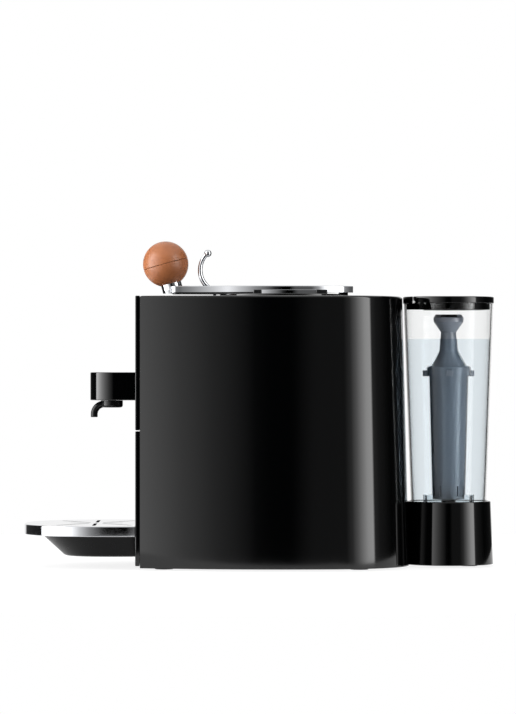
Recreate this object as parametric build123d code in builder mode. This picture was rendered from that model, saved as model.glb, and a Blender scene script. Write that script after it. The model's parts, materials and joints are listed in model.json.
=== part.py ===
from build123d import *
import os
from math import acos, atan2, cos, degrees, pi, radians, sin, sqrt

# Pod coffee machine: a drafted upright body, a chrome lid lever with a ball grip, a round
# cup tray on a pull-out drawer, a fixed spout with a swivelling nozzle, and a water tank
# that stands on its own base behind the body.
# Millimetres. +X points to the tank at the rear, -X to the cup tray, +Z up. The origin is
# on the table, under the middle of the machine's bounding box.

os.makedirs("parts", exist_ok=True)

# ---------------------------------------------------------------- driving dimensions
GAP = 0.3                    # least air between two pieces that move past each other

# body
BODY_LOW = 2.0               # underside, carried by the feet
BODY_HIGH = 263.3
BODY_FRONT = -114.7
WIDE_X = 23.0                # where the bowed sides are widest
FRONT_HALF = (86.0, 83.0)    # half widths at the foot and at the top
WIDE_HALF = (110.0, 104.5)
REAR_X = (145.5, 139.0)
CORNER_RATIO = 0.74          # rear corner radius over the widest half width
WALL = 3.0
ROOF = 3.3
ROOF_UNDER = BODY_HIGH - ROOF
TOP_ROUND = 2.5

# front panel and drawer front
PANEL_BACK = -115.0
PANEL_FRONT = -119.3
PANEL_THICK = PANEL_BACK - PANEL_FRONT
PANEL_SPLIT = 133.7
SPLIT_HALF_GAP = 0.5
DRAWER_LOW = 4.0

# cup tray and drip bowl
TRAY_X = -141.0              # centre of the superellipse
TRAY_LENGTH = 89.0
TRAY_HALF = 88.0
TRAY_POWER = 2.5
TRAY_LOW = 32.2
TRAY_HIGH = 42.0
TRAY_TOP_THICK = 1.8
TRAY_RIM = 3.0
CUP_X = -160.0               # where the cup stands
SLOT_WIDTH = 3.2
BOWL_HIGH = TRAY_LOW - GAP
BOWL_LOW = 11.0
BOWL_WALL = 2.0
BOWL_INSET = 17.0            # from the tray's edge, at the top and at the foot
BOWL_FOOT_INSET = 39.5

# drawer behind the front
BIN_REAR = 62.0
BIN_HALF = 55.0
BIN_LOW = 14.0
BIN_HIGH = 118.0
BIN_WALL = 2.0

# inner frame
GLAND = (58.0, 24.0)         # mains lead, Y and Z on the rear wall
GLAND_R = 6.0
GLAND_BORE = 3.6
FRAME_HALF = 60.5
FRAME_WALL = 2.5
FRAME_REAR = 66.0
FRAME_HIGH = 208.0
BASE_HIGH = 5.0
BASE_SCREWS = [(x, y) for x in (-90, 40) for y in (-66, 66)]
BASE_SCREW_R = 1.5
BRIDGE_THICK = 3.0

# pod well
WELL_X = 30.0
WELL_R = 26.8
WELL_MOUTH_R = 29.6
CHAMBER_R = 32.5
CHAMBER_LOW = 212.0
DECK_HIGH = 266.0
DECK_X = 24.0
DECK_R = 63.0

# lever
ARM_LOW = 267.7
ARM_HIGH = 274.2
ARM_FRONT = -87.0
ARM_REAR = 91.5
ARM_WIDE_X = 28.0
ARM_HALF = 34.0
ARM_FORE_R = 200.0
ARM_REAR_R = 95.0
ARM_FORE_X = -31.0           # where the bowed side turns into the waisted handle
ARM_NECK_R = 248.0
CARRIER_LOW = DECK_HIGH + GAP
CARRIER_HIGH = 270.1
CARRIER_FRONT = -6.0
CARRIER_REAR = 66.0
CARRIER_R = 110.0            # radius of the bowed sides
CARRIER_HALF = 36.3
SCREW_R = 1.5
CARRIER_SCREWS = [(x, y) for x in (4, 56) for y in (-14, 14)]
PIVOT_X = 82.0
PIVOT_Z = 262.5
PIVOT_R = 2.0
RUNNING = 0.05               # radial clearance of a running pin
HINGE_WELL_X = 84.25
HINGE_WELL = (28.5, 38.0)
BRACKET_LOW = 252.5
BRACKET_WALL = 2.0
EAR_Y = 10.5
EAR_THICK = 5.0
LUG_R = 4.6
LUG_WIDTH = 15.0
TONGUE_X = -44.0
LATCH_SLOT = (10.0, 14.0)

# ball grip
BALL = (-92.0, 0.0, 295.8)
BALL_R = 22.3
BALL_TILT = 15.4
STUB_R = 10.25
STUB_LOW = 266.8
BOLT_R = 3.0

# trigger horn
HORN_ARC = (-35.8, 290.0)    # centre of the horn's arc, X and Z
HORN_ARC_R = 22.4
HORN_R = 2.5
HORN_PIVOT = (-49.0, 271.2)
HORN_TIP = (-50.6, 306.4)
HORN_SLOT = (17.0, 6.4)
HORN_SLOT_X = HORN_PIVOT[0] - 2

# spout and nozzle
SPOUT_FRONT = -166.0
SPOUT_HALF = 24.0
SPOUT_LOW = 162.4
SPOUT_HIGH = 189.8
SPOUT_WALL = 2.5
INLET_Z = 176.0
NOZZLE_X = -144.5            # swivel axis
NOZZLE_LOW = 155.2
NOZZLE_HIGH = SPOUT_LOW - GAP
NOZZLE_TIP = 145.8
NOZZLE_R = 10.5
NOZZLE_TUBE_R = 3.4
NOZZLE_BORE = 1.8
SPIGOT_R = 4.0
NOZZLE_MID = (NOZZLE_LOW + NOZZLE_HIGH) / 2
NOZZLE_BEND_X = -152.4
NOZZLE_FRONT_X = -162.1

# buttons
BUTTON_Z = 232.0
BUTTON_R = 7.0
BUTTON_STEM_R = 2.0
BUTTON_PROUD = 0.5
BUTTONS = {"button_small_cup": -30.0, "button_power": 0.0, "button_large_cup": 30.0}

# tank and its base
TANK_X = 185.3
BASE_R = (43.7, 41.3)        # at the foot and at the top
BASE_TOP = 63.8
TANK_LOW = 60.3
TANK_HIGH = 257.0
TANK_R = (36.9, 44.0)        # at the foot and at the rim
TANK_WALL = 2.2
TANK_FLOOR = 3.0
LID_R = 230.0 - TANK_X
LID_LOW = TANK_HIGH + GAP
LID_HIGH = 263.7
LID_SPLIT = 149.2            # fixed hinge cover in front, moving lid behind
LID_HINGE = (153.0, 261.0)   # X and Z
LID_PIN_R = 1.1
LID_ROOF = 2.4
LID_EAR_Y = 12.2
SKIRT_LOW = 251.0
VALVE_R = 7.0
PIPE_Z = 32.0
HOSE_R = 4.0
HOSE_BORE = 2.4

# water works behind the bin
BOILER_X = 94.0
PUMP = (95.0, -36.0)
METER_X = 112.0


def between(pair, z):
    """Value at height z of a size that changes evenly from the body's foot to its top."""
    share = (z - BODY_LOW) / (BODY_HIGH - BODY_LOW)
    return pair[0] + (pair[1] - pair[0]) * share


def body_plan(z, inset=0.0):
    """Plan of the body at height z: flat front, bowed sides, round rear corners."""
    front_half, wide_half, rear_x = (between(p, z) for p in (FRONT_HALF, WIDE_HALF, REAR_X))
    reach = WIDE_X - BODY_FRONT
    sagitta = wide_half - front_half
    side_r = (reach**2 + sagitta**2) / (2 * sagitta)
    side_y = wide_half - side_r
    corner_r = CORNER_RATIO * wide_half
    corner_x = rear_x - corner_r
    corner_y = side_y + sqrt((side_r - corner_r) ** 2 - (corner_x - WIDE_X) ** 2)
    join = degrees(atan2(corner_y - side_y, corner_x - WIDE_X))
    front_turn = degrees(acos(-(reach - inset) / (side_r - inset)))
    with BuildSketch() as plan:
        with BuildLine():
            side = CenterArc((WIDE_X, side_y), side_r - inset, join, front_turn - join)
            CenterArc((corner_x, corner_y), corner_r - inset, 0, join)
            mirror(about=Plane.XZ)
            Line((rear_x - inset, corner_y), (rear_x - inset, -corner_y))
            Line(side @ 1, ((side @ 1).X, -(side @ 1).Y))
        make_face()
    return plan.sketch


def body_form(inset, low, high):
    """Solid of the drafted body between two heights, drawn in by inset."""
    with BuildPart() as form:
        for z in (low, high):
            with BuildSketch(Plane.XY.offset(z)):
                add(body_plan(z, inset))
        loft(ruled=True)
    return form.part


def panel_form(low, high):
    """Plate that follows the body's narrowing front between two heights."""
    with BuildPart() as form:
        with BuildSketch(Plane.YZ.offset(PANEL_FRONT)):
            with BuildLine():
                Polyline(
                    (-between(FRONT_HALF, low), low),
                    (between(FRONT_HALF, low), low),
                    (between(FRONT_HALF, high), high),
                    (-between(FRONT_HALF, high), high),
                    close=True,
                )
            make_face()
        extrude(amount=PANEL_THICK)
        fillet(form.faces().sort_by(Axis.X)[0].edges(), 1.0)
    return form.part


def tray_plan(inset, rear_x):
    """Plan of the tray: a superellipse, cut straight across at rear_x."""
    length, half = TRAY_LENGTH - inset, TRAY_HALF - inset
    end = pi - acos(((rear_x - TRAY_X) / length) ** (TRAY_POWER / 2))
    steps = 6
    outline = []
    for step in range(-steps, steps + 1):
        turn = end * step / steps
        along = abs(cos(turn)) ** (2 / TRAY_POWER)
        across = abs(sin(turn)) ** (2 / TRAY_POWER)
        outline.append(
            (
                TRAY_X - length * (along if cos(turn) > 0 else -along),
                half * (across if turn > 0 else -across),
            )
        )
    with BuildSketch() as plan:
        with BuildLine():
            rim = Spline(*outline)
            Line(rim @ 1, rim @ 0)
        make_face()
    return plan.sketch


def arm_plan(inset=0.0):
    """Plan of the lever: a waisted handle that swells into a leaf."""
    fore_y = ARM_HALF - ARM_FORE_R
    slope = (ARM_WIDE_X - ARM_FORE_X) / ARM_FORE_R
    fore_turn = degrees(acos(-slope))
    neck_x = ARM_WIDE_X - (ARM_FORE_R + ARM_NECK_R) * slope
    neck_y = fore_y + (ARM_FORE_R + ARM_NECK_R) * sqrt(1 - slope**2)
    neck_turn = -degrees(acos((ARM_FRONT + inset - neck_x) / (ARM_NECK_R + inset)))
    rear_y = ARM_HALF - ARM_REAR_R
    rear_x = ARM_REAR - inset
    rear_turn = degrees(acos((rear_x - ARM_WIDE_X) / (ARM_REAR_R - inset)))
    with BuildSketch() as plan:
        with BuildLine():
            CenterArc((ARM_WIDE_X, fore_y), ARM_FORE_R - inset, 90, fore_turn - 90)
            rear = CenterArc((ARM_WIDE_X, rear_y), ARM_REAR_R - inset, rear_turn, 90 - rear_turn)
            handle = CenterArc(
                (neck_x, neck_y), ARM_NECK_R + inset, fore_turn - 180, neck_turn - fore_turn + 180
            )
            mirror(about=Plane.XZ)
            Line(handle @ 1, ((handle @ 1).X, -(handle @ 1).Y))
            Line(rear @ 0, ((rear @ 0).X, -(rear @ 0).Y))
        make_face()
    return plan.sketch


def turned(profile, x=0.0):
    """Solid of revolution about the vertical axis at x, from (radius, height) points."""
    with BuildPart() as form:
        with BuildSketch(Plane.XZ):
            with BuildLine():
                Polyline(*[(x + radius, height) for radius, height in profile], close=True)
            make_face()
        revolve(axis=Axis((x, 0, 0), (0, 0, 1)))
    return form.part


def hose(points, bend, outer=HOSE_R, bore=HOSE_BORE):
    """Tube of even bore along straight runs joined by tangent arcs."""
    with BuildPart() as form:
        with BuildLine() as route:
            FilletPolyline(*points, radius=bend)
        with BuildSketch(Plane(route.line @ 0, z_dir=route.line % 0)):
            Circle(outer)
            Circle(bore, mode=Mode.SUBTRACT)
        sweep(path=route.line)
    return form.part


# ---------------------------------------------------------------- body casings
with BuildPart() as outer_shell:
    add(body_form(0, BODY_LOW, BODY_HIGH))
    fillet(outer_shell.edges().group_by(Axis.Z)[-1].sort_by(Axis.X)[1:], TOP_ROUND)
    add(body_form(WALL, BODY_LOW - 1, ROOF_UNDER), mode=Mode.SUBTRACT)
    # drawer mouth
    with Locations((BODY_FRONT, 0, BASE_HIGH)):
        Box(
            4 * WALL, 2 * FRAME_HALF, BIN_HIGH + 6 - BASE_HIGH,
            align=(Align.CENTER, Align.CENTER, Align.MIN), mode=Mode.SUBTRACT,
        )
    # brew pipe and button holes in the front wall
    with BuildSketch(Plane.YZ.offset(BODY_FRONT - 1)):
        with Locations((0, INLET_Z)):
            Circle(8)
        with Locations(*[(y, BUTTON_Z) for y in BUTTONS.values()]):
            Circle(BUTTON_R + 2)
    extrude(amount=2 * WALL, mode=Mode.SUBTRACT)
    # pod well, hinge well and latch slot in the roof
    with BuildSketch(Plane.XY.offset(ROOF_UNDER - 1)):
        with Locations((WELL_X, 0)):
            Circle(CHAMBER_R + 0.5)
        with Locations((HINGE_WELL_X, 0)):
            Rectangle(*HINGE_WELL)
        with Locations((TONGUE_X, 0)):
            Rectangle(*LATCH_SLOT)
    extrude(amount=2 * ROOF, mode=Mode.SUBTRACT)
    # water pipe and mains lead holes in the rear wall
    with BuildSketch(Plane.YZ.offset(125)):
        with Locations((0, PIPE_Z)):
            Circle(HOSE_R + 1)
        with Locations(GLAND):
            Circle(GLAND_R + 0.2)
    extrude(amount=25, mode=Mode.SUBTRACT)
outer_shell.part.label = "outer_shell"
export_step(outer_shell.part, "parts/outer_shell.step")

with BuildPart() as base_plate:
    add(body_form(WALL + 0.2, BODY_LOW, BASE_HIGH))
    with Locations(Plane.XY.offset(BODY_LOW)):
        with Locations(*BASE_SCREWS):
            CounterBoreHole(BASE_SCREW_R + 0.2, 3.2, 1.4)
base_plate.part.label = "base_plate"
export_step(base_plate.part, "parts/base_plate.step")

FEET = [(-92, -62), (-92, 62), (96, -68), (96, 68), (205, 0)]
with BuildPart() as rubber_feet:
    with Locations(*FEET):
        Cylinder(9, BODY_LOW, align=(Align.CENTER, Align.CENTER, Align.MIN))
    chamfer(rubber_feet.faces().filter_by(Axis.Z).group_by(Axis.Z)[0].edges(), 0.5)
rubber_feet.part.label = "rubber_feet"
export_step(rubber_feet.part, "parts/rubber_feet.step")

with BuildPart() as front_panel:
    add(panel_form(PANEL_SPLIT + SPLIT_HALF_GAP, BODY_HIGH))
    with BuildSketch(Plane.YZ.offset(PANEL_FRONT - 1)):
        with Locations((0, INLET_Z)):
            Circle(6)
        with Locations(*[(y, BUTTON_Z) for y in BUTTONS.values()]):
            Circle(BUTTON_R + GAP)
    extrude(amount=2 * PANEL_THICK, mode=Mode.SUBTRACT)
front_panel.part.label = "front_panel"
export_step(front_panel.part, "parts/front_panel.step")

with BuildPart() as top_deck:
    with BuildSketch(Plane.XY.offset(BODY_HIGH)):
        with Locations((DECK_X, 0)):
            Circle(DECK_R)
        with Locations((WELL_X, 0)):
            Circle(CHAMBER_R - 1.2, mode=Mode.SUBTRACT)
        with Locations((HINGE_WELL_X, 0)):
            Rectangle(HINGE_WELL[0] + 3, HINGE_WELL[1] + 1.5, mode=Mode.SUBTRACT)
    extrude(amount=DECK_HIGH - BODY_HIGH)
    chamfer(top_deck.faces().sort_by(Axis.Z)[-1].outer_wire().edges(), 0.6)
top_deck.part.label = "top_deck"
export_step(top_deck.part, "parts/top_deck.step")

with BuildPart() as mains_gland:
    with BuildSketch(Plane.YZ.offset(126)):
        with Locations(GLAND):
            Circle(GLAND_R)
            Circle(GLAND_BORE, mode=Mode.SUBTRACT)
    extrude(amount=16)
    with BuildSketch(Plane.YZ.offset(142)):
        with Locations(GLAND):
            Circle(GLAND_R + 1.6)
            Circle(GLAND_BORE, mode=Mode.SUBTRACT)
    extrude(amount=3)
    fillet(mains_gland.faces().sort_by(Axis.X)[-1].outer_wire().edges(), 1.2)
mains_gland.part.label = "mains_gland"
export_step(mains_gland.part, "parts/mains_gland.step")

# ---------------------------------------------------------------- inner frame and brewing works
with BuildPart() as inner_frame:
    # two side walls, the wall behind the bin, feet flanges and the bin's rails
    for side in (-1, 1):
        with Locations((-22, side * (FRAME_HALF - FRAME_WALL / 2), BASE_HIGH)):
            Box(
                172, FRAME_WALL, FRAME_HIGH - BASE_HIGH,
                align=(Align.CENTER, Align.CENTER, Align.MIN),
            )
        with Locations((-22, side * 66, BASE_HIGH)):
            Box(152, 14, 3, align=(Align.CENTER, Align.CENTER, Align.MIN))
        with Locations((-22, side * 55, BIN_LOW - GAP - 2)):
            Box(172, 10, 2, align=(Align.CENTER, Align.CENTER, Align.MIN))
    with Locations((FRAME_REAR, 0, BASE_HIGH)):
        Box(
            FRAME_WALL, 2 * FRAME_HALF, FRAME_HIGH - BASE_HIGH,
            align=(Align.CENTER, Align.CENTER, Align.MIN),
        )
    # bridge that carries the brew chamber and guides the gate
    with Locations((52, 0, FRAME_HIGH - BRIDGE_THICK)):
        Box(
            128, 2 * FRAME_HALF, BRIDGE_THICK,
            align=(Align.CENTER, Align.CENTER, Align.MIN),
        )
    with Locations((WELL_X, 0, FRAME_HIGH - BRIDGE_THICK)):
        Cylinder(27, 8, mode=Mode.SUBTRACT)
    for side in (-1, 1):
        with Locations((58, side * 31.6, FRAME_HIGH)):
            Box(116, 2.0, 3.6, align=(Align.CENTER, Align.CENTER, Align.MIN))
    with Locations((BOILER_X + 14, 46, FRAME_HIGH)):
        Cylinder(HOSE_R + 1, 10, mode=Mode.SUBTRACT)
    with Locations(*[(x, y, BASE_HIGH) for x, y in BASE_SCREWS]):
        Cylinder(BASE_SCREW_R, 10, mode=Mode.SUBTRACT)
inner_frame.part.label = "inner_frame"
export_step(inner_frame.part, "parts/inner_frame.step")

with BuildPart() as base_screws:
    with Locations(*[(x, y, BODY_LOW) for x, y in BASE_SCREWS]):
        Cylinder(2.8, 1.4, align=(Align.CENTER, Align.CENTER, Align.MIN))
        Cylinder(BASE_SCREW_R, 6, align=(Align.CENTER, Align.CENTER, Align.MIN))
base_screws.part.label = "base_screws"
export_step(base_screws.part, "parts/base_screws.step")

with BuildPart() as brew_chamber:
    add(
        turned(
            [
                (CHAMBER_R - 5, CHAMBER_LOW), (CHAMBER_R, CHAMBER_LOW),
                (CHAMBER_R, 256.7), (36.5, 256.7), (36.5, ROOF_UNDER),
                (CHAMBER_R, ROOF_UNDER), (CHAMBER_R, BODY_HIGH), (WELL_MOUTH_R, BODY_HIGH),
                (WELL_R, 256.2), (WELL_R, 236), (CHAMBER_R - 5, 232),
            ],
            WELL_X,
        )
    )
    # hot water inlet at the rear and coffee outlet at the front
    with BuildSketch(Plane.YZ.offset(WELL_X + CHAMBER_R - 1)):
        with Locations((0, 245)):
            Circle(HOSE_R)
            Circle(HOSE_BORE, mode=Mode.SUBTRACT)
    extrude(amount=7)
    with BuildSketch(Plane.YZ.offset(WELL_X - CHAMBER_R + 1)):
        with Locations((0, 222)):
            Circle(HOSE_R)
            Circle(HOSE_BORE, mode=Mode.SUBTRACT)
    extrude(amount=-7)
    for x, z in ((WELL_X + CHAMBER_R - 2.5, 245), (WELL_X - CHAMBER_R + 2.5, 222)):
        with Locations(Location((x, 0, z), (0, 90, 0))):
            Cylinder(HOSE_BORE, 8, mode=Mode.SUBTRACT)
brew_chamber.part.label = "brew_chamber"
export_step(brew_chamber.part, "parts/brew_chamber.step")

with BuildPart() as pod_seat:
    add(turned([(22, 237), (WELL_R, 237), (WELL_R, 240), (22, 240)], WELL_X))
pod_seat.part.label = "pod_seat"
export_step(pod_seat.part, "parts/pod_seat.step")

with BuildPart() as chamber_gate:
    with BuildSketch(Plane.XY.offset(FRAME_HIGH + GAP)):
        with Locations((WELL_X, 0)):
            RectangleRounded(60, 60, 6)
    extrude(amount=2.8)
chamber_gate.part.label = "chamber_gate"
export_step(chamber_gate.part, "parts/chamber_gate.step")

with BuildPart() as thermoblock:
    with Locations((BOILER_X, 32, 64)):
        Box(50, 48, 86, align=(Align.CENTER, Align.CENTER, Align.MIN))
    fillet(thermoblock.edges().filter_by(Axis.Z), 5)
    with BuildSketch(Plane.XY.offset(150)):
        with Locations((BOILER_X, 20), (BOILER_X + 14, 46)):
            Circle(HOSE_R)
            Circle(HOSE_BORE, mode=Mode.SUBTRACT)
    extrude(amount=6)
    # cooling grooves on the outer side
    with Locations(*[(BOILER_X, 56, z) for z in range(72, 148, 12)]):
        Box(52, 5, 5, mode=Mode.SUBTRACT)
thermoblock.part.label = "thermoblock"
export_step(thermoblock.part, "parts/thermoblock.step")

with BuildPart() as pump:
    with Locations((*PUMP, 48)):
        Cylinder(20, 80, align=(Align.CENTER, Align.CENTER, Align.MIN))
    fillet(pump.edges().filter_by(GeomType.CIRCLE), 2)
    with Locations((*PUMP, 40)):
        Cylinder(HOSE_R, 94, align=(Align.CENTER, Align.CENTER, Align.MIN))
    with Locations((*PUMP, 87)):
        Cylinder(HOSE_BORE, 94, mode=Mode.SUBTRACT)
pump.part.label = "pump"
export_step(pump.part, "parts/pump.step")

with BuildPart() as pump_mounts:
    for z in (60, 106):
        with BuildSketch(Plane.XY.offset(z)):
            with Locations(PUMP):
                Circle(24)
            with Locations((FRAME_REAR + FRAME_WALL / 2 + 9, PUMP[1])):
                Rectangle(18, 20)
            with Locations(PUMP):
                Circle(20, mode=Mode.SUBTRACT)
        extrude(amount=8)
pump_mounts.part.label = "pump_mounts"
export_step(pump_mounts.part, "parts/pump_mounts.step")

with BuildPart() as flow_meter:
    with Locations((METER_X, 0, BASE_HIGH)):
        Cylinder(7, 20, align=(Align.CENTER, Align.CENTER, Align.MIN))
        with Locations((0, 0, 18)):
            Cylinder(14, 18, align=(Align.CENTER, Align.CENTER, Align.MIN))
    with Locations(Location((METER_X, 0, PIPE_Z), (0, 90, 0))):
        Cylinder(HOSE_R, 20, align=(Align.CENTER, Align.CENTER, Align.MIN))
    with Locations(Location((METER_X, 0, PIPE_Z), (90, 0, 0))):
        Cylinder(HOSE_R, 20, align=(Align.CENTER, Align.CENTER, Align.MIN))
flow_meter.part.label = "flow_meter"
export_step(flow_meter.part, "parts/flow_meter.step")

# hoses, in the order the water takes
with BuildPart() as cold_water_hose:
    with BuildSketch(Plane.YZ.offset(METER_X + 20)):
        with Locations((0, PIPE_Z)):
            Circle(HOSE_R)
            Circle(HOSE_BORE, mode=Mode.SUBTRACT)
    extrude(amount=9)
cold_water_hose.part.label = "cold_water_hose"
export_step(cold_water_hose.part, "parts/cold_water_hose.step")

with BuildPart() as pump_inlet_hose:
    add(
        hose(
            [
                (METER_X, -20, PIPE_Z), (METER_X, PUMP[1], PIPE_Z),
                (*PUMP, PIPE_Z), (*PUMP, 40),
            ],
            6,
        )
    )
pump_inlet_hose.part.label = "pump_inlet_hose"
export_step(pump_inlet_hose.part, "parts/pump_inlet_hose.step")

with BuildPart() as pressure_hose:
    add(
        hose(
            [(*PUMP, 134), (*PUMP, 176), (BOILER_X, 20, 176), (BOILER_X, 20, 156)], 9
        )
    )
pressure_hose.part.label = "pressure_hose"
export_step(pressure_hose.part, "parts/pressure_hose.step")

with BuildPart() as hot_water_hose:
    add(
        hose(
            [
                (BOILER_X + 14, 46, 156), (BOILER_X + 14, 46, 245),
                (BOILER_X + 14, 0, 245), (WELL_X + CHAMBER_R + 6, 0, 245),
            ],
            18,
        )
    )
hot_water_hose.part.label = "hot_water_hose"
export_step(hot_water_hose.part, "parts/hot_water_hose.step")

with BuildPart() as brew_outlet_hose:
    add(
        hose(
            [
                (WELL_X - CHAMBER_R - 6, 0, 222), (-42, 0, 222),
                (-76, 0, INLET_Z), (-104, 0, INLET_Z),
            ],
            22,
        )
    )
brew_outlet_hose.part.label = "brew_outlet_hose"
export_step(brew_outlet_hose.part, "parts/brew_outlet_hose.step")

with BuildPart() as control_board:
    with Locations((-20, 68, 120)):
        Box(110, 1.6, 90)
    with Locations((-20, 63.9, 120)):
        Box(90, 6.6, 70)
control_board.part.label = "control_board"
export_step(control_board.part, "parts/control_board.step")

BUTTON_BOARD_X = -105.6
with BuildPart() as button_board:
    with Locations((BUTTON_BOARD_X + 0.8, 0, BUTTON_Z)):
        Box(1.6, 100, 22)
    with Locations(*[(BUTTON_BOARD_X + 4.5, y, BUTTON_Z) for y in (-44, 44)]):
        Box(6, 8, 8)
button_board.part.label = "button_board"
export_step(button_board.part, "parts/button_board.step")

for name, y in BUTTONS.items():
    with BuildPart() as button:
        with Locations(Location((PANEL_FRONT - BUTTON_PROUD, y, BUTTON_Z), (0, 90, 0))):
            Cylinder(BUTTON_R, 6.5, align=(Align.CENTER, Align.CENTER, Align.MIN))
            Cylinder(BUTTON_STEM_R, 12.2, align=(Align.CENTER, Align.CENTER, Align.MIN))
        with Locations(Location((-114.3, y, BUTTON_Z), (0, 90, 0))):
            Cylinder(BUTTON_R + 1.2, 1.2, align=(Align.CENTER, Align.CENTER, Align.MIN))
        fillet(button.faces().sort_by(Axis.X)[0].edges(), BUTTON_PROUD)
    button.part.label = name
    export_step(button.part, f"parts/{name}.step")

# ---------------------------------------------------------------- spout
with BuildPart() as spout_housing:
    for inset in (0.0, SPOUT_WALL):
        low = SPOUT_LOW + inset
        high = SPOUT_HIGH - inset
        with BuildSketch(Plane.XY.offset(low)):
            with Locations((SPOUT_FRONT + SPOUT_HALF, 0)):
                Circle(SPOUT_HALF - inset)
                Rectangle(2 * SPOUT_HALF, 2 * (SPOUT_HALF - inset), align=(Align.MIN, Align.CENTER))
            with Locations((PANEL_FRONT, 0)):
                Rectangle(
                    2 * SPOUT_HALF, 2 * SPOUT_HALF + 2,
                    align=(Align.MIN, Align.CENTER), mode=Mode.SUBTRACT,
                )
        extrude(amount=high - low, mode=Mode.SUBTRACT if inset else Mode.ADD)
        if not inset:
            fillet(
                spout_housing.faces().filter_by(Axis.Z).edges().filter_by(
                    lambda e: e.center().X < PANEL_FRONT - 1
                ),
                0.8,
            )
    with Locations((NOZZLE_X, 0, SPOUT_LOW)):
        Cylinder(SPIGOT_R + RUNNING, 3 * SPOUT_WALL, mode=Mode.SUBTRACT)
spout_housing.part.label = "spout_housing"
export_step(spout_housing.part, "parts/spout_housing.step")

with BuildPart() as spout_inlet:
    add(hose([(-104, 0, INLET_Z), (NOZZLE_X, 0, INLET_Z), (NOZZLE_X, 0, 168.6)], 4.5, 4.2))
spout_inlet.part.label = "spout_inlet"
export_step(spout_inlet.part, "parts/spout_inlet.step")

with BuildPart() as outlet_nozzle:
    with BuildSketch(Plane.XY.offset(NOZZLE_LOW)):
        with Locations((NOZZLE_X, 0)):
            Circle(NOZZLE_R)
        with Locations((NOZZLE_BEND_X, 0)):
            Circle(NOZZLE_TUBE_R)
        make_hull()
    extrude(amount=NOZZLE_HIGH - NOZZLE_LOW)
    fillet(outlet_nozzle.faces().sort_by(Axis.Z)[0].edges(), 2.2)
    with Locations((NOZZLE_X, 0, NOZZLE_HIGH)):
        Cylinder(SPIGOT_R, 6, align=(Align.CENTER, Align.CENTER, Align.MIN))
    neck_r = NOZZLE_MID - NOZZLE_TIP - 3
    for radius, mode in ((NOZZLE_TUBE_R, Mode.ADD), (NOZZLE_BORE, Mode.SUBTRACT)):
        with BuildLine() as neck:
            FilletPolyline(
                (NOZZLE_X, 0, NOZZLE_MID), (NOZZLE_FRONT_X, 0, NOZZLE_MID),
                (NOZZLE_FRONT_X, 0, NOZZLE_TIP), radius=neck_r,
            )
        with BuildSketch(Plane(neck.line @ 0, z_dir=neck.line % 0)):
            Circle(radius)
        sweep(path=neck.line, mode=mode)
    with Locations((NOZZLE_X, 0, NOZZLE_MID)):
        Cylinder(
            NOZZLE_BORE, 12,
            align=(Align.CENTER, Align.CENTER, Align.MIN), mode=Mode.SUBTRACT,
        )
outlet_nozzle.part.label = "outlet_nozzle"
export_step(outlet_nozzle.part, "parts/outlet_nozzle.step")

# ---------------------------------------------------------------- drawer, bowl and tray
with BuildPart() as drawer_front:
    add(panel_form(DRAWER_LOW, PANEL_SPLIT - SPLIT_HALF_GAP))
drawer_front.part.label = "drawer_front"
export_step(drawer_front.part, "parts/drawer_front.step")

with BuildPart() as pod_bin:
    bin_x = (PANEL_BACK + BIN_REAR) / 2
    bin_length = BIN_REAR - PANEL_BACK
    with BuildSketch(Plane.XY.offset(BIN_LOW)):
        with Locations((bin_x, 0)):
            Rectangle(bin_length, 2 * BIN_HALF)
    extrude(amount=BIN_HIGH - BIN_LOW)
    fillet(pod_bin.edges().filter_by(Axis.Z).sort_by(Axis.X)[-2:], 8)
    offset(amount=-BIN_WALL, openings=pod_bin.faces().sort_by(Axis.Z)[-1])
pod_bin.part.label = "pod_bin"
export_step(pod_bin.part, "parts/pod_bin.step")

with BuildPart() as drip_bowl:
    for inset, mode in ((0, Mode.ADD), (BOWL_WALL, Mode.SUBTRACT)):
        rear = PANEL_FRONT - inset
        with BuildSketch(Plane.XY.offset(BOWL_LOW + inset)):
            add(tray_plan(BOWL_FOOT_INSET + inset, rear))
        with BuildSketch(Plane.XY.offset(BOWL_HIGH)):
            add(tray_plan(BOWL_INSET + inset, rear))
        loft(ruled=True, mode=mode)
        if not inset:
            foot_edges = drip_bowl.faces().sort_by(Axis.Z)[0].edges()
            fillet(foot_edges.filter_by(lambda e: e.center().X < PANEL_FRONT - 1), 7)
drip_bowl.part.label = "drip_bowl"
export_step(drip_bowl.part, "parts/drip_bowl.step")

with BuildPart() as drip_grate:
    rear = PANEL_FRONT - GAP - 0.1
    with BuildSketch(Plane.XY.offset(TRAY_LOW)):
        add(tray_plan(0, rear))
    extrude(amount=TRAY_HIGH - TRAY_LOW)
    fillet(drip_grate.faces().sort_by(Axis.Z)[-1].edges(), 0.6)
    # hollow underside with a ring that stands on the bowl's edge
    with BuildSketch(Plane.XY.offset(TRAY_LOW)):
        add(tray_plan(TRAY_RIM, rear - TRAY_RIM))
        add(tray_plan(BOWL_INSET - 1, rear - TRAY_RIM), mode=Mode.SUBTRACT)
        add(tray_plan(BOWL_INSET + 3, rear - TRAY_RIM))
    extrude(amount=TRAY_HIGH - TRAY_TOP_THICK - TRAY_LOW, mode=Mode.SUBTRACT)
    # drain slots that fan out from under the cup
    with BuildSketch(Plane.XY.offset(TRAY_HIGH)):
        for turn, start, stop in (
            (0, 12, 26), (57, 12, 66), (90, 12, 66), (123, 12, 66),
            (180, 12, 26), (237, 12, 66), (270, 12, 66), (303, 12, 66),
        ):
            middle = (start + stop) / 2
            with Locations((CUP_X + middle * cos(radians(turn)), middle * sin(radians(turn)))):
                SlotOverall(stop - start, SLOT_WIDTH, rotation=turn)
    extrude(amount=-2 * TRAY_TOP_THICK, mode=Mode.SUBTRACT)
drip_grate.part.label = "drip_grate"
export_step(drip_grate.part, "parts/drip_grate.step")

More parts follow.
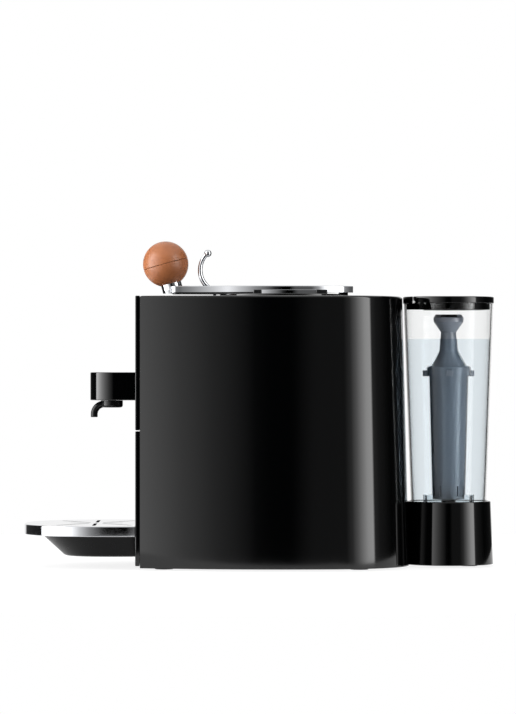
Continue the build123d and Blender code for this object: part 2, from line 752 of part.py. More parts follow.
# ---------------------------------------------------------------- lever hinge and latch seat
with BuildPart() as hinge_bracket:
    with BuildSketch(Plane.XY.offset(BRACKET_LOW)):
        with Locations((HINGE_WELL_X, 0)):
            Rectangle(HINGE_WELL[0] + 2 * BRACKET_WALL, HINGE_WELL[1] + 2 * BRACKET_WALL)
    extrude(amount=ROOF_UNDER - BRACKET_LOW)
    with BuildSketch(Plane.XY.offset(BRACKET_LOW + 2.3)):
        with Locations((HINGE_WELL_X, 0)):
            Rectangle(*HINGE_WELL)
    extrude(amount=10, mode=Mode.SUBTRACT)
    for side in (-1, 1):
        with Locations((PIVOT_X, side * EAR_Y, BRACKET_LOW + 1.5)):
            Box(
                6.8, EAR_THICK, PIVOT_Z - BRACKET_LOW - 1.5,
                align=(Align.CENTER, Align.CENTER, Align.MIN),
            )
        with Locations(Location((PIVOT_X, side * EAR_Y, PIVOT_Z), (90, 0, 0))):
            Cylinder(3.4, EAR_THICK)
            Cylinder(PIVOT_R, EAR_THICK, mode=Mode.SUBTRACT)
hinge_bracket.part.label = "hinge_bracket"
export_step(hinge_bracket.part, "parts/hinge_bracket.step")

with BuildPart() as lever_hinge_pin:
    with Locations(Location((PIVOT_X, 0, PIVOT_Z), (90, 0, 0))):
        Cylinder(PIVOT_R, 27)
    chamfer(lever_hinge_pin.edges().filter_by(GeomType.CIRCLE), 0.4)
lever_hinge_pin.part.label = "lever_hinge_pin"
export_step(lever_hinge_pin.part, "parts/lever_hinge_pin.step")

with BuildPart() as latch_keeper:
    with Locations((TONGUE_X, 0, 250)):
        Box(16, 20, ROOF_UNDER - 250, align=(Align.CENTER, Align.CENTER, Align.MIN))
        Box(*LATCH_SLOT, 20, align=(Align.CENTER, Align.CENTER, Align.MIN), mode=Mode.SUBTRACT)
    for end in (-1, 1):
        with Locations((TONGUE_X + end * 3.8, 0, 251.5)):
            Box(2.4, 14, 3, align=(Align.CENTER, Align.CENTER, Align.MIN))
latch_keeper.part.label = "latch_keeper"
export_step(latch_keeper.part, "parts/latch_keeper.step")

# ---------------------------------------------------------------- lever
BALL_PLANE = Plane(origin=BALL, x_dir=(cos(radians(BALL_TILT)), 0, sin(radians(BALL_TILT))),
                   z_dir=(-sin(radians(BALL_TILT)), 0, cos(radians(BALL_TILT))))
HORN_X, HORN_Z = HORN_PIVOT

with BuildPart() as lever_arm:
    with BuildSketch(Plane.XY.offset(ARM_LOW)):
        add(arm_plan())
    extrude(amount=ARM_HIGH - ARM_LOW)
    fillet(lever_arm.edges().filter_by(Axis.Z).sort_by(Axis.X)[:2], 6)
    fillet(lever_arm.edges().filter_by(Axis.Z).sort_by(Axis.X)[-2:], 1.5)
    fillet(lever_arm.faces().sort_by(Axis.Z)[-1].edges(), 0.8)
    # seat of the ball's stub, and the horn's slot
    with BuildSketch(BALL_PLANE):
        Circle(STUB_R)
    extrude(amount=-40, mode=Mode.SUBTRACT)
    with Locations((HORN_SLOT_X, 0, ARM_LOW)):
        Box(*HORN_SLOT, 20, mode=Mode.SUBTRACT)
    with Locations(Location((HORN_X, 0, HORN_Z), (90, 0, 0))):
        Cylinder(1, 16, mode=Mode.SUBTRACT)
    with BuildSketch(Plane.XY.offset(CARRIER_LOW)):
        with Locations(*CARRIER_SCREWS):
            Circle(SCREW_R)
    extrude(amount=5, mode=Mode.SUBTRACT)
    # hinge lug
    with Locations((PIVOT_X, 0, PIVOT_Z)):
        Box(
            2 * LUG_R, LUG_WIDTH, ARM_LOW - PIVOT_Z,
            align=(Align.CENTER, Align.CENTER, Align.MIN),
        )
    with Locations(Location((PIVOT_X, 0, PIVOT_Z), (90, 0, 0))):
        Cylinder(LUG_R, LUG_WIDTH)
        Cylinder(PIVOT_R + RUNNING, LUG_WIDTH, mode=Mode.SUBTRACT)
lever_arm.part.label = "lever_arm"
export_step(lever_arm.part, "parts/lever_arm.step")

with BuildPart() as arm_liner:
    with BuildSketch(Plane.XY.offset(CARRIER_LOW)):
        add(arm_plan(1.2))
        with Locations((CARRIER_FRONT, 0)):
            Rectangle(200, 100, align=(Align.MIN, Align.CENTER), mode=Mode.SUBTRACT)
        with Locations((HORN_SLOT_X, 0)):
            Rectangle(*HORN_SLOT, mode=Mode.SUBTRACT)
        with Locations((TONGUE_X + 1.5, 0)):
            Rectangle(8, 11, mode=Mode.SUBTRACT)
    extrude(amount=ARM_LOW - CARRIER_LOW)
    with BuildSketch(BALL_PLANE):
        Circle(STUB_R)
    extrude(amount=-40, mode=Mode.SUBTRACT)
arm_liner.part.label = "arm_liner"
export_step(arm_liner.part, "parts/arm_liner.step")

with BuildPart() as latch_tongue:
    with Locations((TONGUE_X + 1.5, 0, ARM_LOW - 1.4)):
        Box(7, 10, 1.4, align=(Align.CENTER, Align.CENTER, Align.MIN))
    with Locations((TONGUE_X, 0, 257)):
        Box(3, 10, ARM_LOW - 257, align=(Align.CENTER, Align.CENTER, Align.MIN))
    chamfer(latch_tongue.faces().sort_by(Axis.Z)[0].edges().filter_by(Axis.Y), 0.8)
latch_tongue.part.label = "latch_tongue"
export_step(latch_tongue.part, "parts/latch_tongue.step")

with BuildPart() as cap_carrier:
    # bowed plate that holds the pressure cap, with a clamp lug at each end of both sides
    with BuildSketch(Plane.XY.offset(CARRIER_LOW)):
        with Locations((WELL_X, CARRIER_HALF - CARRIER_R)):
            Circle(CARRIER_R)
        with Locations((WELL_X, CARRIER_R - CARRIER_HALF)):
            Circle(CARRIER_R, mode=Mode.INTERSECT)
        with Locations(((CARRIER_FRONT + CARRIER_REAR) / 2, 0)):
            Rectangle(CARRIER_REAR - CARRIER_FRONT, 80, mode=Mode.INTERSECT)
        with Locations((CARRIER_FRONT + 4, 0)):
            Rectangle(8, 67.6)
        with Locations((CARRIER_REAR - 5.5, 0)):
            Rectangle(11, 70)
    extrude(amount=CARRIER_HIGH - CARRIER_LOW)
    with BuildSketch(Plane.XY.offset(ARM_LOW)):
        add(arm_plan())
    extrude(amount=10, mode=Mode.SUBTRACT)
    with BuildSketch(Plane.XY.offset(CARRIER_LOW)):
        with Locations(*CARRIER_SCREWS):
            Circle(SCREW_R)
    extrude(amount=5, mode=Mode.SUBTRACT)
cap_carrier.part.label = "cap_carrier"
export_step(cap_carrier.part, "parts/cap_carrier.step")

with BuildPart() as carrier_screws:
    with BuildSketch(Plane.XY.offset(CARRIER_LOW)):
        with Locations(*CARRIER_SCREWS):
            Circle(SCREW_R)
    extrude(amount=5)
carrier_screws.part.label = "carrier_screws"
export_step(carrier_screws.part, "parts/carrier_screws.step")

CAP_LOW = 256.5
with BuildPart() as pressure_cap:
    add(turned([(0, CAP_LOW), (25.6, CAP_LOW), (28.8, CARRIER_LOW), (0, CARRIER_LOW)], WELL_X))
    with Locations((WELL_X, 0, CAP_LOW)):
        Cylinder(14, 6, mode=Mode.SUBTRACT)
pressure_cap.part.label = "pressure_cap"
export_step(pressure_cap.part, "parts/pressure_cap.step")

with BuildPart() as cap_seal:
    add(
        turned(
            [(19, CAP_LOW), (19, CAP_LOW - 1.2), (20, CAP_LOW - 1.8), (24, CAP_LOW - 1.8),
             (25.4, CAP_LOW - 1), (25.4, CAP_LOW)],
            WELL_X,
        )
    )
cap_seal.part.label = "cap_seal"
export_step(cap_seal.part, "parts/cap_seal.step")

with BuildPart() as ball_socket:
    with BuildSketch(BALL_PLANE):
        Circle(STUB_R)
        Circle(BOLT_R, mode=Mode.SUBTRACT)
    extrude(amount=-40)
    with Locations(BALL):
        Sphere(BALL_R, mode=Mode.SUBTRACT)
    split(bisect_by=Plane.XY.offset(STUB_LOW), keep=Keep.TOP)
ball_socket.part.label = "ball_socket"
export_step(ball_socket.part, "parts/ball_socket.step")

BALL_SEAM = 0.3
for name, keep, side in (("ball_lower", Keep.BOTTOM, -1), ("ball_upper", Keep.TOP, 1)):
    with BuildPart() as ball_half:
        with Locations(BALL):
            Sphere(BALL_R)
        split(bisect_by=BALL_PLANE.offset(side * BALL_SEAM / 2), keep=keep)
        with BuildSketch(BALL_PLANE.offset(8)):
            Circle(BOLT_R)
        extrude(amount=-40, mode=Mode.SUBTRACT)
    ball_half.part.label = name
    export_step(ball_half.part, f"parts/{name}.step")

with BuildPart() as ball_bolt:
    with BuildSketch(BALL_PLANE.offset(8)):
        Circle(BOLT_R)
    extrude(amount=-40)
    split(bisect_by=Plane.XY.offset(STUB_LOW), keep=Keep.TOP)
ball_bolt.part.label = "ball_bolt"
export_step(ball_bolt.part, "parts/ball_bolt.step")

with BuildPart() as trigger_pin:
    with Locations(Location((HORN_X, 0, HORN_Z), (90, 0, 0))):
        Cylinder(1, 16)
trigger_pin.part.label = "trigger_pin"
export_step(trigger_pin.part, "parts/trigger_pin.step")

with BuildPart() as trigger_horn:
    with BuildLine(Plane.XZ) as horn_line:
        CenterArc(HORN_ARC, HORN_ARC_R, 135, 97)
    with BuildSketch(Plane(horn_line.line @ 0, z_dir=horn_line.line % 0)):
        Circle(HORN_R - 0.4)
    with BuildSketch(Plane(horn_line.line @ 1, z_dir=horn_line.line % 1)):
        Circle(HORN_R)
    sweep(path=horn_line.line, multisection=True)
    with Locations((HORN_TIP[0], 0, HORN_TIP[1])):
        Sphere(3.6)
    with Locations(Location((HORN_X, 0, HORN_Z), (90, 0, 0))):
        Cylinder(3, 5.6)
        Cylinder(1 + RUNNING, 8, mode=Mode.SUBTRACT)
trigger_horn.part.label = "trigger_horn"
export_step(trigger_horn.part, "parts/trigger_horn.step")

# ---------------------------------------------------------------- tank base and tank
with BuildPart() as tank_base:
    add(
        turned(
            [
                (0, BODY_LOW), (BASE_R[0], BODY_LOW), (BASE_R[1], BASE_TOP), (38.4, BASE_TOP),
                (38.2, TANK_LOW - 0.2), (12, TANK_LOW - 0.2), (12, 56), (38.5, 56),
                (BASE_R[0] - 2.5, 5), (0, 5),
            ],
            TANK_X,
        )
    )
    fillet(tank_base.edges().filter_by(GeomType.CIRCLE).group_by(Axis.Z)[-1].sort_by(
        SortBy.RADIUS)[-1], 1.2)
    add(body_form(-0.1, BODY_LOW - 1, BASE_TOP + 20), mode=Mode.SUBTRACT)
    # way through for the water pipe
    with Locations((TANK_X - BASE_R[0], 0, 7)):
        Box(16, 24, 46, align=(Align.CENTER, Align.CENTER, Align.MIN), mode=Mode.SUBTRACT)
tank_base.part.label = "tank_base"
export_step(tank_base.part, "parts/tank_base.step")

with BuildPart() as tank_coupling:
    add(
        turned(
            [
                (0, 20), (11.8, 20), (11.8, TANK_LOW - 1), (VALVE_R + 0.7, TANK_LOW - 1),
                (VALVE_R + 0.7, 52), (0, 52),
            ],
            TANK_X,
        )
    )
    with Locations((TANK_X, 0, BASE_HIGH)):
        Cylinder(6, 15, align=(Align.CENTER, Align.CENTER, Align.MIN))
    with Locations(Location((TANK_X, 0, PIPE_Z), (0, -90, 0))):
        Cylinder(HOSE_R, TANK_X - 141, align=(Align.CENTER, Align.CENTER, Align.MIN))
tank_coupling.part.label = "tank_coupling"
export_step(tank_coupling.part, "parts/tank_coupling.step")

with BuildPart() as tank_vessel:
    add(
        turned(
            [
                (VALVE_R, TANK_LOW), (TANK_R[0], TANK_LOW), (TANK_R[1], TANK_HIGH),
                (TANK_R[1] - TANK_WALL, TANK_HIGH),
                (TANK_R[0] - TANK_WALL, TANK_LOW + TANK_FLOOR), (24, TANK_LOW + TANK_FLOOR),
                (24, 69.5), (21.5, 69.5), (21.5, TANK_LOW + TANK_FLOOR),
                (VALVE_R, TANK_LOW + TANK_FLOOR),
            ],
            TANK_X,
        )
    )
tank_vessel.part.label = "tank_vessel"
export_step(tank_vessel.part, "parts/tank_vessel.step")

with BuildPart() as tank_valve:
    add(
        turned(
            [(0, 54), (4, 54), (VALVE_R, 57), (VALVE_R, 64.6), (0, 64.6)],
            TANK_X,
        )
    )
tank_valve.part.label = "tank_valve"
export_step(tank_valve.part, "parts/tank_valve.step")

with BuildPart() as tank_seal:
    add(turned([(VALVE_R, 57.6), (VALVE_R + 0.4, 57.9), (VALVE_R + 0.4, 59.1), (VALVE_R, 59.4)],
               TANK_X))
tank_seal.part.label = "tank_seal"
export_step(tank_seal.part, "parts/tank_seal.step")

INNER_RIM = TANK_R[1] - TANK_WALL - 0.4
HINGE_X, HINGE_Z = LID_HINGE
with BuildPart() as lid_hinge_block:
    # block inside the rim, the fixed front of the lid above it, and two ears for the pin
    with BuildSketch(Plane.XY.offset(SKIRT_LOW)):
        with Locations((TANK_X, 0)):
            Circle(INNER_RIM)
        with Locations((HINGE_X - 5, 0)):
            Rectangle(26, 30, mode=Mode.INTERSECT)
    extrude(amount=TANK_HIGH - SKIRT_LOW)
    with BuildSketch(Plane.XY.offset(TANK_HIGH)):
        with Locations((TANK_X, 0)):
            Circle(LID_R)
        with Locations((LID_SPLIT, 0)):
            Rectangle(40, 80, align=(Align.MAX, Align.CENTER), mode=Mode.INTERSECT)
    extrude(amount=LID_HIGH - TANK_HIGH)
    fillet(lid_hinge_block.faces().sort_by(Axis.Z)[-1].edges(), 0.6)
    for side in (-1, 1):
        with Locations((HINGE_X, side * LID_EAR_Y, TANK_HIGH - 1)):
            Box(3, 3.4, HINGE_Z - TANK_HIGH + 1, align=(Align.CENTER, Align.CENTER, Align.MIN))
        with Locations(Location((HINGE_X, side * LID_EAR_Y, HINGE_Z), (90, 0, 0))):
            Cylinder(2.3, 3.4)
            Cylinder(LID_PIN_R, 3.4, mode=Mode.SUBTRACT)
lid_hinge_block.part.label = "lid_hinge_block"
export_step(lid_hinge_block.part, "parts/lid_hinge_block.step")

with BuildPart() as lid_hinge_pin:
    with Locations(Location((HINGE_X, 0, HINGE_Z), (90, 0, 0))):
        Cylinder(LID_PIN_R, 27.8)
lid_hinge_pin.part.label = "lid_hinge_pin"
export_step(lid_hinge_pin.part, "parts/lid_hinge_pin.step")

with BuildPart() as tank_lid:
    lid_front = HINGE_X - 3
    with BuildSketch(Plane.XY.offset(LID_LOW)):
        with Locations((TANK_X, 0)):
            Circle(LID_R)
        with Locations((lid_front, 0)):
            Rectangle(100, 100, align=(Align.MIN, Align.CENTER), mode=Mode.INTERSECT)
    extrude(amount=LID_HIGH - LID_LOW)
    fillet(tank_lid.faces().sort_by(Axis.Z)[-1].edges(), 1.2)
    chamfer(tank_lid.faces().sort_by(Axis.Z)[0].edges().filter_by(Axis.Y), 2.4)
    # hollow underside behind the hinge bar
    with BuildSketch(Plane.XY.offset(LID_LOW)):
        with Locations((TANK_X, 0)):
            Circle(LID_R - 3)
        with Locations((HINGE_X + 5, 0)):
            Rectangle(100, 100, align=(Align.MIN, Align.CENTER), mode=Mode.INTERSECT)
    extrude(amount=LID_HIGH - LID_LOW - LID_ROOF, mode=Mode.SUBTRACT)
    # skirt that centres the lid in the tank, open beside the hinge block
    with BuildSketch(Plane.XY.offset(SKIRT_LOW)):
        with Locations((TANK_X, 0)):
            Circle(INNER_RIM - 0.8)
            Circle(INNER_RIM - 3, mode=Mode.SUBTRACT)
        with Locations((HINGE_X + 12, 0)):
            Rectangle(100, 100, align=(Align.MIN, Align.CENTER), mode=Mode.INTERSECT)
    extrude(amount=LID_HIGH - LID_ROOF - SKIRT_LOW)
    # notches for the ears, and the pin's bore
    for side in (-1, 1):
        with Locations((HINGE_X, side * LID_EAR_Y, LID_LOW)):
            Box(7.4, 4.2, 20, mode=Mode.SUBTRACT)
    with Locations(Location((HINGE_X, 0, HINGE_Z), (90, 0, 0))):
        Cylinder(LID_PIN_R + RUNNING, 28.6, mode=Mode.SUBTRACT)
tank_lid.part.label = "tank_lid"
export_step(tank_lid.part, "parts/tank_lid.step")

# ---------------------------------------------------------------- filter in the tank
FILTER_LOW = 65.6
COLLAR_LOW = 186.0
COLLAR_HIGH = 196.0
with BuildPart() as filter_cartridge:
    add(turned([(0, FILTER_LOW), (15.5, FILTER_LOW), (18.5, COLLAR_LOW), (0, COLLAR_LOW)], TANK_X))
    # intake slits round the foot
    with Locations((TANK_X, 0, FILTER_LOW + 8)):
        with PolarLocations(15.6, 12):
            Box(3, 1.6, 10, mode=Mode.SUBTRACT)
filter_cartridge.part.label = "filter_cartridge"
export_step(filter_cartridge.part, "parts/filter_cartridge.step")

with BuildPart() as filter_head:
    # bayonet collar, waisted stem and flared grip
    with BuildSketch(Plane.XZ):
        with BuildLine():
            foot = Polyline(
                (TANK_X, COLLAR_LOW), (TANK_X + 20.8, COLLAR_LOW), (TANK_X + 20.8, 194.5),
                (TANK_X + 19.6, COLLAR_HIGH), (TANK_X + 17, COLLAR_HIGH),
            )
            Spline(foot @ 1, (TANK_X + 14, 201.2), (TANK_X + 9.2, 210))
            Polyline(
                (TANK_X + 9.2, 210), (TANK_X + 8.6, 211.5), (TANK_X + 7.9, 222.5),
                (TANK_X + 7.5, 229), (TANK_X + 14.4, 239),
            )
            ThreePointArc((TANK_X + 14.4, 239), (TANK_X + 14.9, 242.8), (TANK_X + 12.6, 246.4))
            Polyline((TANK_X + 12.6, 246.4), (TANK_X, 246.4), (TANK_X, COLLAR_LOW))
        make_face()
    revolve(axis=Axis((TANK_X, 0, 0), (0, 0, 1)))
    with Locations((TANK_X, 0, 0)):
        with PolarLocations(21.8, 4):
            with Locations((0, 0, COLLAR_LOW)):
                Box(4.4, 7, 5.8, align=(Align.CENTER, Align.CENTER, Align.MIN))
    # finger slot across the grip
    with Locations((TANK_X, 0, 246.4)):
        Box(16, 40, 5.6, mode=Mode.SUBTRACT)
filter_head.part.label = "filter_head"
export_step(filter_head.part, "parts/filter_head.step")
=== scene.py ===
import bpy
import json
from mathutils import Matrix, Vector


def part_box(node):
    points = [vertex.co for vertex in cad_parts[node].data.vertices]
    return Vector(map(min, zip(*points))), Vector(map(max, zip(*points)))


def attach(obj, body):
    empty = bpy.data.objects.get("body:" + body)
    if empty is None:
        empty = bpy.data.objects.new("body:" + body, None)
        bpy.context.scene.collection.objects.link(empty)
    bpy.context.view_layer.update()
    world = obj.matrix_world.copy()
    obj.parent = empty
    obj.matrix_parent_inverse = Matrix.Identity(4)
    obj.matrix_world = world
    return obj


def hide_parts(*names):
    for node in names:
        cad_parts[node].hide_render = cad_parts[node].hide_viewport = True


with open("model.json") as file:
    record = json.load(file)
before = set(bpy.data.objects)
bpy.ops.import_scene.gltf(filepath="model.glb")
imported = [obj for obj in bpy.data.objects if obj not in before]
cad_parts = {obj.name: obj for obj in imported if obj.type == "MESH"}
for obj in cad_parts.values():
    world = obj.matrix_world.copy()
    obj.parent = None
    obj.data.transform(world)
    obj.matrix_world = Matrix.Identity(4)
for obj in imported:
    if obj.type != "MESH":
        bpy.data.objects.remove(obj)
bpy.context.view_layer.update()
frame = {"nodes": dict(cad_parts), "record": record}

import json
from math import acos, asin, atan2, cos, pi, radians, sin, sqrt

import bpy
import bmesh
from mathutils import Matrix, Vector

# Looks of the pod coffee machine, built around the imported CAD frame.
# Sizes are in metres, so a length in millimetres is written as a number times MM.
MM = 0.001
NODES = frame["nodes"]
ALONG, ACROSS, UP = (1, 0, 0), (0, 1, 0), (0, 0, 1)

# ------------------------------------------------------------------ sizes shared with the design
shell_low, shell_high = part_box("outer_shell")
BODY_LOW, BODY_HIGH = shell_low.z, shell_high.z
BODY_FRONT = shell_low.x
WIDE_X = 23 * MM
FRONT_HALF = (86 * MM, 83 * MM)
WIDE_HALF = (110 * MM, 104.5 * MM)
REAR_X = (145.5 * MM, 139 * MM)
CORNER_RATIO = 0.74
SHOULDER = 2.5 * MM
WALL = 3 * MM
ROOF = 3.3 * MM
PANEL_X = -114 * MM
BUTTON_Y = 30 * MM
BUTTON_Z = 232 * MM
OUTLET_X = -144.5 * MM

tray_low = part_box("drip_grate")[0]
TRAY_X = -141 * MM
TRAY_LENGTH = TRAY_X - tray_low.x
TRAY_HALF = 88 * MM
TRAY_POWER = 2.5
CUP_X = -160 * MM

arm_low, arm_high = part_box("lever_arm")
ARM_LOW, ARM_HIGH = 267.7 * MM, arm_high.z
ARM_FRONT, ARM_REAR = arm_low.x, arm_high.x
ARM_WIDE_X = 28 * MM
ARM_HALF = 34 * MM
ARM_FORE_R, ARM_REAR_R = 200 * MM, 95 * MM
ARM_NECK_R = 248 * MM
ARM_FORE_X = -31 * MM
PIVOT = (82 * MM, 262.5 * MM)

BALL = Vector((-92 * MM, 0, 295.8 * MM))
BALL_R = 22.3 * MM
BALL_TILT = radians(15.4)
BALL_AXIS = Vector((-sin(BALL_TILT), 0, cos(BALL_TILT)))
BALL_BORE = 3 * MM
STUB_R = 10.25 * MM
HORN_PIN = Vector((-49 * MM, 0, 271.2 * MM))

TANK_X = 185.3 * MM
WELL_X = 30 * MM
LID_R = 44.7 * MM
LID_PIN = Vector((153 * MM, 0, 261 * MM))
LID_EAR_Y = 12.2 * MM
DIAL_LOW = 243.6 * MM


# ------------------------------------------------------------------ mesh helpers
def piece(name, verts, faces, material, sharp=40):
    """Object from vertices and faces, smooth except where faces meet at more than sharp degrees."""
    mesh = bpy.data.meshes.new(name)
    mesh.from_pydata([tuple(v) for v in verts], [], faces)
    obj = bpy.data.objects.new(name, mesh)
    bpy.context.scene.collection.objects.link(obj)
    tidy(obj, sharp)
    obj.data.materials.append(material)
    return obj


def tidy(obj, sharp=40):
    """Merges doubled points, faces outwards and smooths the shading up to the sharp angle."""
    bm = bmesh.new()
    bm.from_mesh(obj.data)
    bmesh.ops.remove_doubles(bm, verts=bm.verts, dist=1e-6)
    bmesh.ops.dissolve_degenerate(bm, edges=bm.edges, dist=1e-7)
    bmesh.ops.recalc_face_normals(bm, faces=bm.faces)
    bm.to_mesh(obj.data)
    bm.free()
    for face in obj.data.polygons:
        face.use_smooth = True
    obj.data.set_sharp_from_angle(angle=radians(sharp))


def stack(rings, cap_start=True, cap_end=True):
    """Vertices and faces of a skin through closed rings with as many points each."""
    count = len(rings[0])
    verts = [v for ring in rings for v in ring]
    faces = []
    for level in range(len(rings) - 1):
        for i in range(count):
            j = (i + 1) % count
            a, b = level * count, (level + 1) * count
            faces.append((a + i, a + j, b + j, b + i))
    if cap_start:
        faces.append(tuple(range(count))[::-1])
    if cap_end:
        faces.append(tuple(range((len(rings) - 1) * count, len(rings) * count)))
    return verts, faces


def arc(cx, cy, r, start, end, steps):
    """Points on an arc, angles in radians, both ends included."""
    turns = [start + (end - start) * i / steps for i in range(steps + 1)]
    return [(cx + r * cos(t), cy + r * sin(t)) for t in turns]


def circle(x, r, count):
    """Closed outline of a circle whose middle is on the machine's centre line."""
    return arc(x, 0, r, 0, 2 * pi, count)[:-1]


def half_circle(r, steps):
    """Profile of a ball, from its top to its foot."""
    return arc(0, 0, r, pi / 2, -pi / 2, steps)


def inset(outline, amount):
    """Closed outline moved inwards by amount, with mitred corners; runs anticlockwise."""
    moved = []
    for i, here in enumerate(outline):
        before = Vector(outline[i - 1])
        after = Vector(outline[(i + 1) % len(outline)])
        here = Vector(here)
        a, b = (here - before).normalized(), (after - here).normalized()
        na, nb = Vector((-a.y, a.x)), Vector((-b.y, b.x))
        mid = (na + nb).normalized()
        moved.append(tuple(here + mid * amount / max(mid.dot(na), 0.3)))
    return moved


def edge_steps(radius, steps=5):
    """(inset, drop) pairs of a quarter-round edge, from the side to the flat."""
    turns = [pi / 2 * i / steps for i in range(steps + 1)]
    return [(radius * (1 - cos(t)), radius * (1 - sin(t))) for t in turns]


def slab_rings(outline, low, high, top_round, foot_round):
    """Rings of an upright block with quarter-round edges at its foot and top."""
    rings = []
    if foot_round:
        for move, drop in reversed(edge_steps(foot_round)):
            rings.append([(x, y, low + drop) for x, y in inset(outline, move)])
    else:
        rings.append([(x, y, low) for x, y in outline])
    if top_round:
        for move, drop in edge_steps(top_round):
            rings.append([(x, y, high - drop) for x, y in inset(outline, move)])
    else:
        rings.append([(x, y, high) for x, y in outline])
    return rings


def slab(name, outline, low, high, material, top_round=0.0, foot_round=0.0, sharp=40):
    """Upright block over a closed outline, with its edges rounded where a radius is given."""
    verts, faces = stack(slab_rings(outline, low, high, top_round, foot_round))
    return piece(name, verts, faces, material, sharp)


def rounded(points, radii, steps=6):
    """Closed profile with its corners rounded; radii maps a corner's index to its radius."""
    out = []
    count = len(points)
    for i in range(count):
        here = Vector(points[i])
        radius = radii.get(i, 0)
        if not radius:
            out.append(tuple(here))
            continue
        a = (Vector(points[i - 1]) - here).normalized()
        b = (Vector(points[(i + 1) % count]) - here).normalized()
        half = a.angle(b) / 2
        reach = radius / max(sin(half), 1e-6) * cos(half)
        centre = here + (a + b).normalized() * radius / sin(half)
        start, end = here + a * reach - centre, here + b * reach - centre
        turn = start.angle_signed(end)
        for k in range(steps + 1):
            share = -turn * k / steps
            c, s = cos(share), sin(share)
            out.append((centre.x + start.x * c - start.y * s, centre.y + start.x * s + start.y * c))
    return out


def lathe(name, profile, material, x=0.0, turns=128, sharp=40, place=None):
    """Closed (radius, height) profile turned about the upright axis at x, then put in place."""
    verts, faces = [], []
    count = len(profile)
    for t in range(turns):
        c, s = cos(2 * pi * t / turns), sin(2 * pi * t / turns)
        verts += [(x + r * c, r * s, z) for r, z in profile]
    for t in range(turns):
        u = (t + 1) % turns
        for i in range(count):
            j = (i + 1) % count
            if profile[i][0] < 1e-9 and profile[j][0] < 1e-9:
                continue
            faces.append((t * count + i, u * count + i, u * count + j, t * count + j))
    obj = piece(name, verts, faces, material, sharp)
    if place is not None:
        obj.data.transform(place)
    return obj


def tube(name, path, radii, material, around=32, sharp=60):
    """Round bar along points, with a radius for each point."""
    path = [Vector(p) for p in path]
    rings = []
    side = Vector((0, 1, 0))
    for i, here in enumerate(path):
        along = (path[min(i + 1, len(path) - 1)] - path[max(i - 1, 0)]).normalized()
        side = (side - along * side.dot(along)).normalized()
        up = along.cross(side)
        turns = [2 * pi * k / around for k in range(around)]
        rings.append([here + (side * cos(t) + up * sin(t)) * radii[i] for t in turns])
    verts, faces = stack(rings)
    return piece(name, verts, faces, material, sharp)


def block(low, high):
    """Plain cutter box between two corners."""
    (x0, y0, z0), (x1, y1, z1) = low, high
    outline = [(x0, y0), (x1, y0), (x1, y1), (x0, y1)]
    verts, faces = stack([[(x, y, z) for x, y in outline] for z in (z0, z1)])
    return piece("cutter", verts, faces, CUTTER)


def rod(centre, axis, radius, length):
    """Plain cutter rod about a centre point, along X, Y, Z or any vector."""
    turn = Vector((0, 0, 1)).rotation_difference(Vector(axis)).to_matrix().to_4x4()
    profile = [(0, -length / 2), (radius, -length / 2), (radius, length / 2), (0, length / 2)]
    return lathe("cutter", profile, CUTTER, turns=64, place=Matrix.Translation(centre) @ turn)


def apply(obj):
    """Makes the modifiers' result the mesh itself."""
    bpy.context.view_layer.update()
    result = bpy.data.meshes.new_from_object(obj.evaluated_get(bpy.context.evaluated_depsgraph_get()))
    obj.modifiers.clear()
    obj.data = result


def cut(obj, cutters, sharp=40, operation="DIFFERENCE"):
    """Cuts the cutters out of obj, or adds them to it, one after another, and removes them."""
    for cutter in cutters:
        step = obj.modifiers.new("cut", "BOOLEAN")
        step.operation = operation
        step.solver = "EXACT"
        step.object = cutter
    apply(obj)
    for cutter in cutters:
        bpy.data.objects.remove(cutter)
    tidy(obj, sharp)
    return obj


def join(name, parts):
    """One object made of several, keeping the first one's material."""
    bm = bmesh.new()
    for part in parts:
        bm.from_mesh(part.data)
    mesh = bpy.data.meshes.new(name)
    bm.to_mesh(mesh)
    bm.free()
    mesh.materials.append(parts[0].data.materials[0])
    for part in parts:
        bpy.data.objects.remove(part)
    obj = bpy.data.objects.new(name, mesh)
    bpy.context.scene.collection.objects.link(obj)
    return obj


def stand_for(obj, body, slot, *nodes):
    """The piece rides on a body and stands for CAD nodes; slot is not used."""
    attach(obj, body)
    if nodes:
        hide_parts(*nodes)
    even(obj)
    return obj


def even(obj):
    """Keeps broad faces true beside their rounded edges."""
    step = obj.modifiers.new("normals", "WEIGHTED_NORMAL")
    step.keep_sharp = True
    step.weight = 100
    apply(obj)


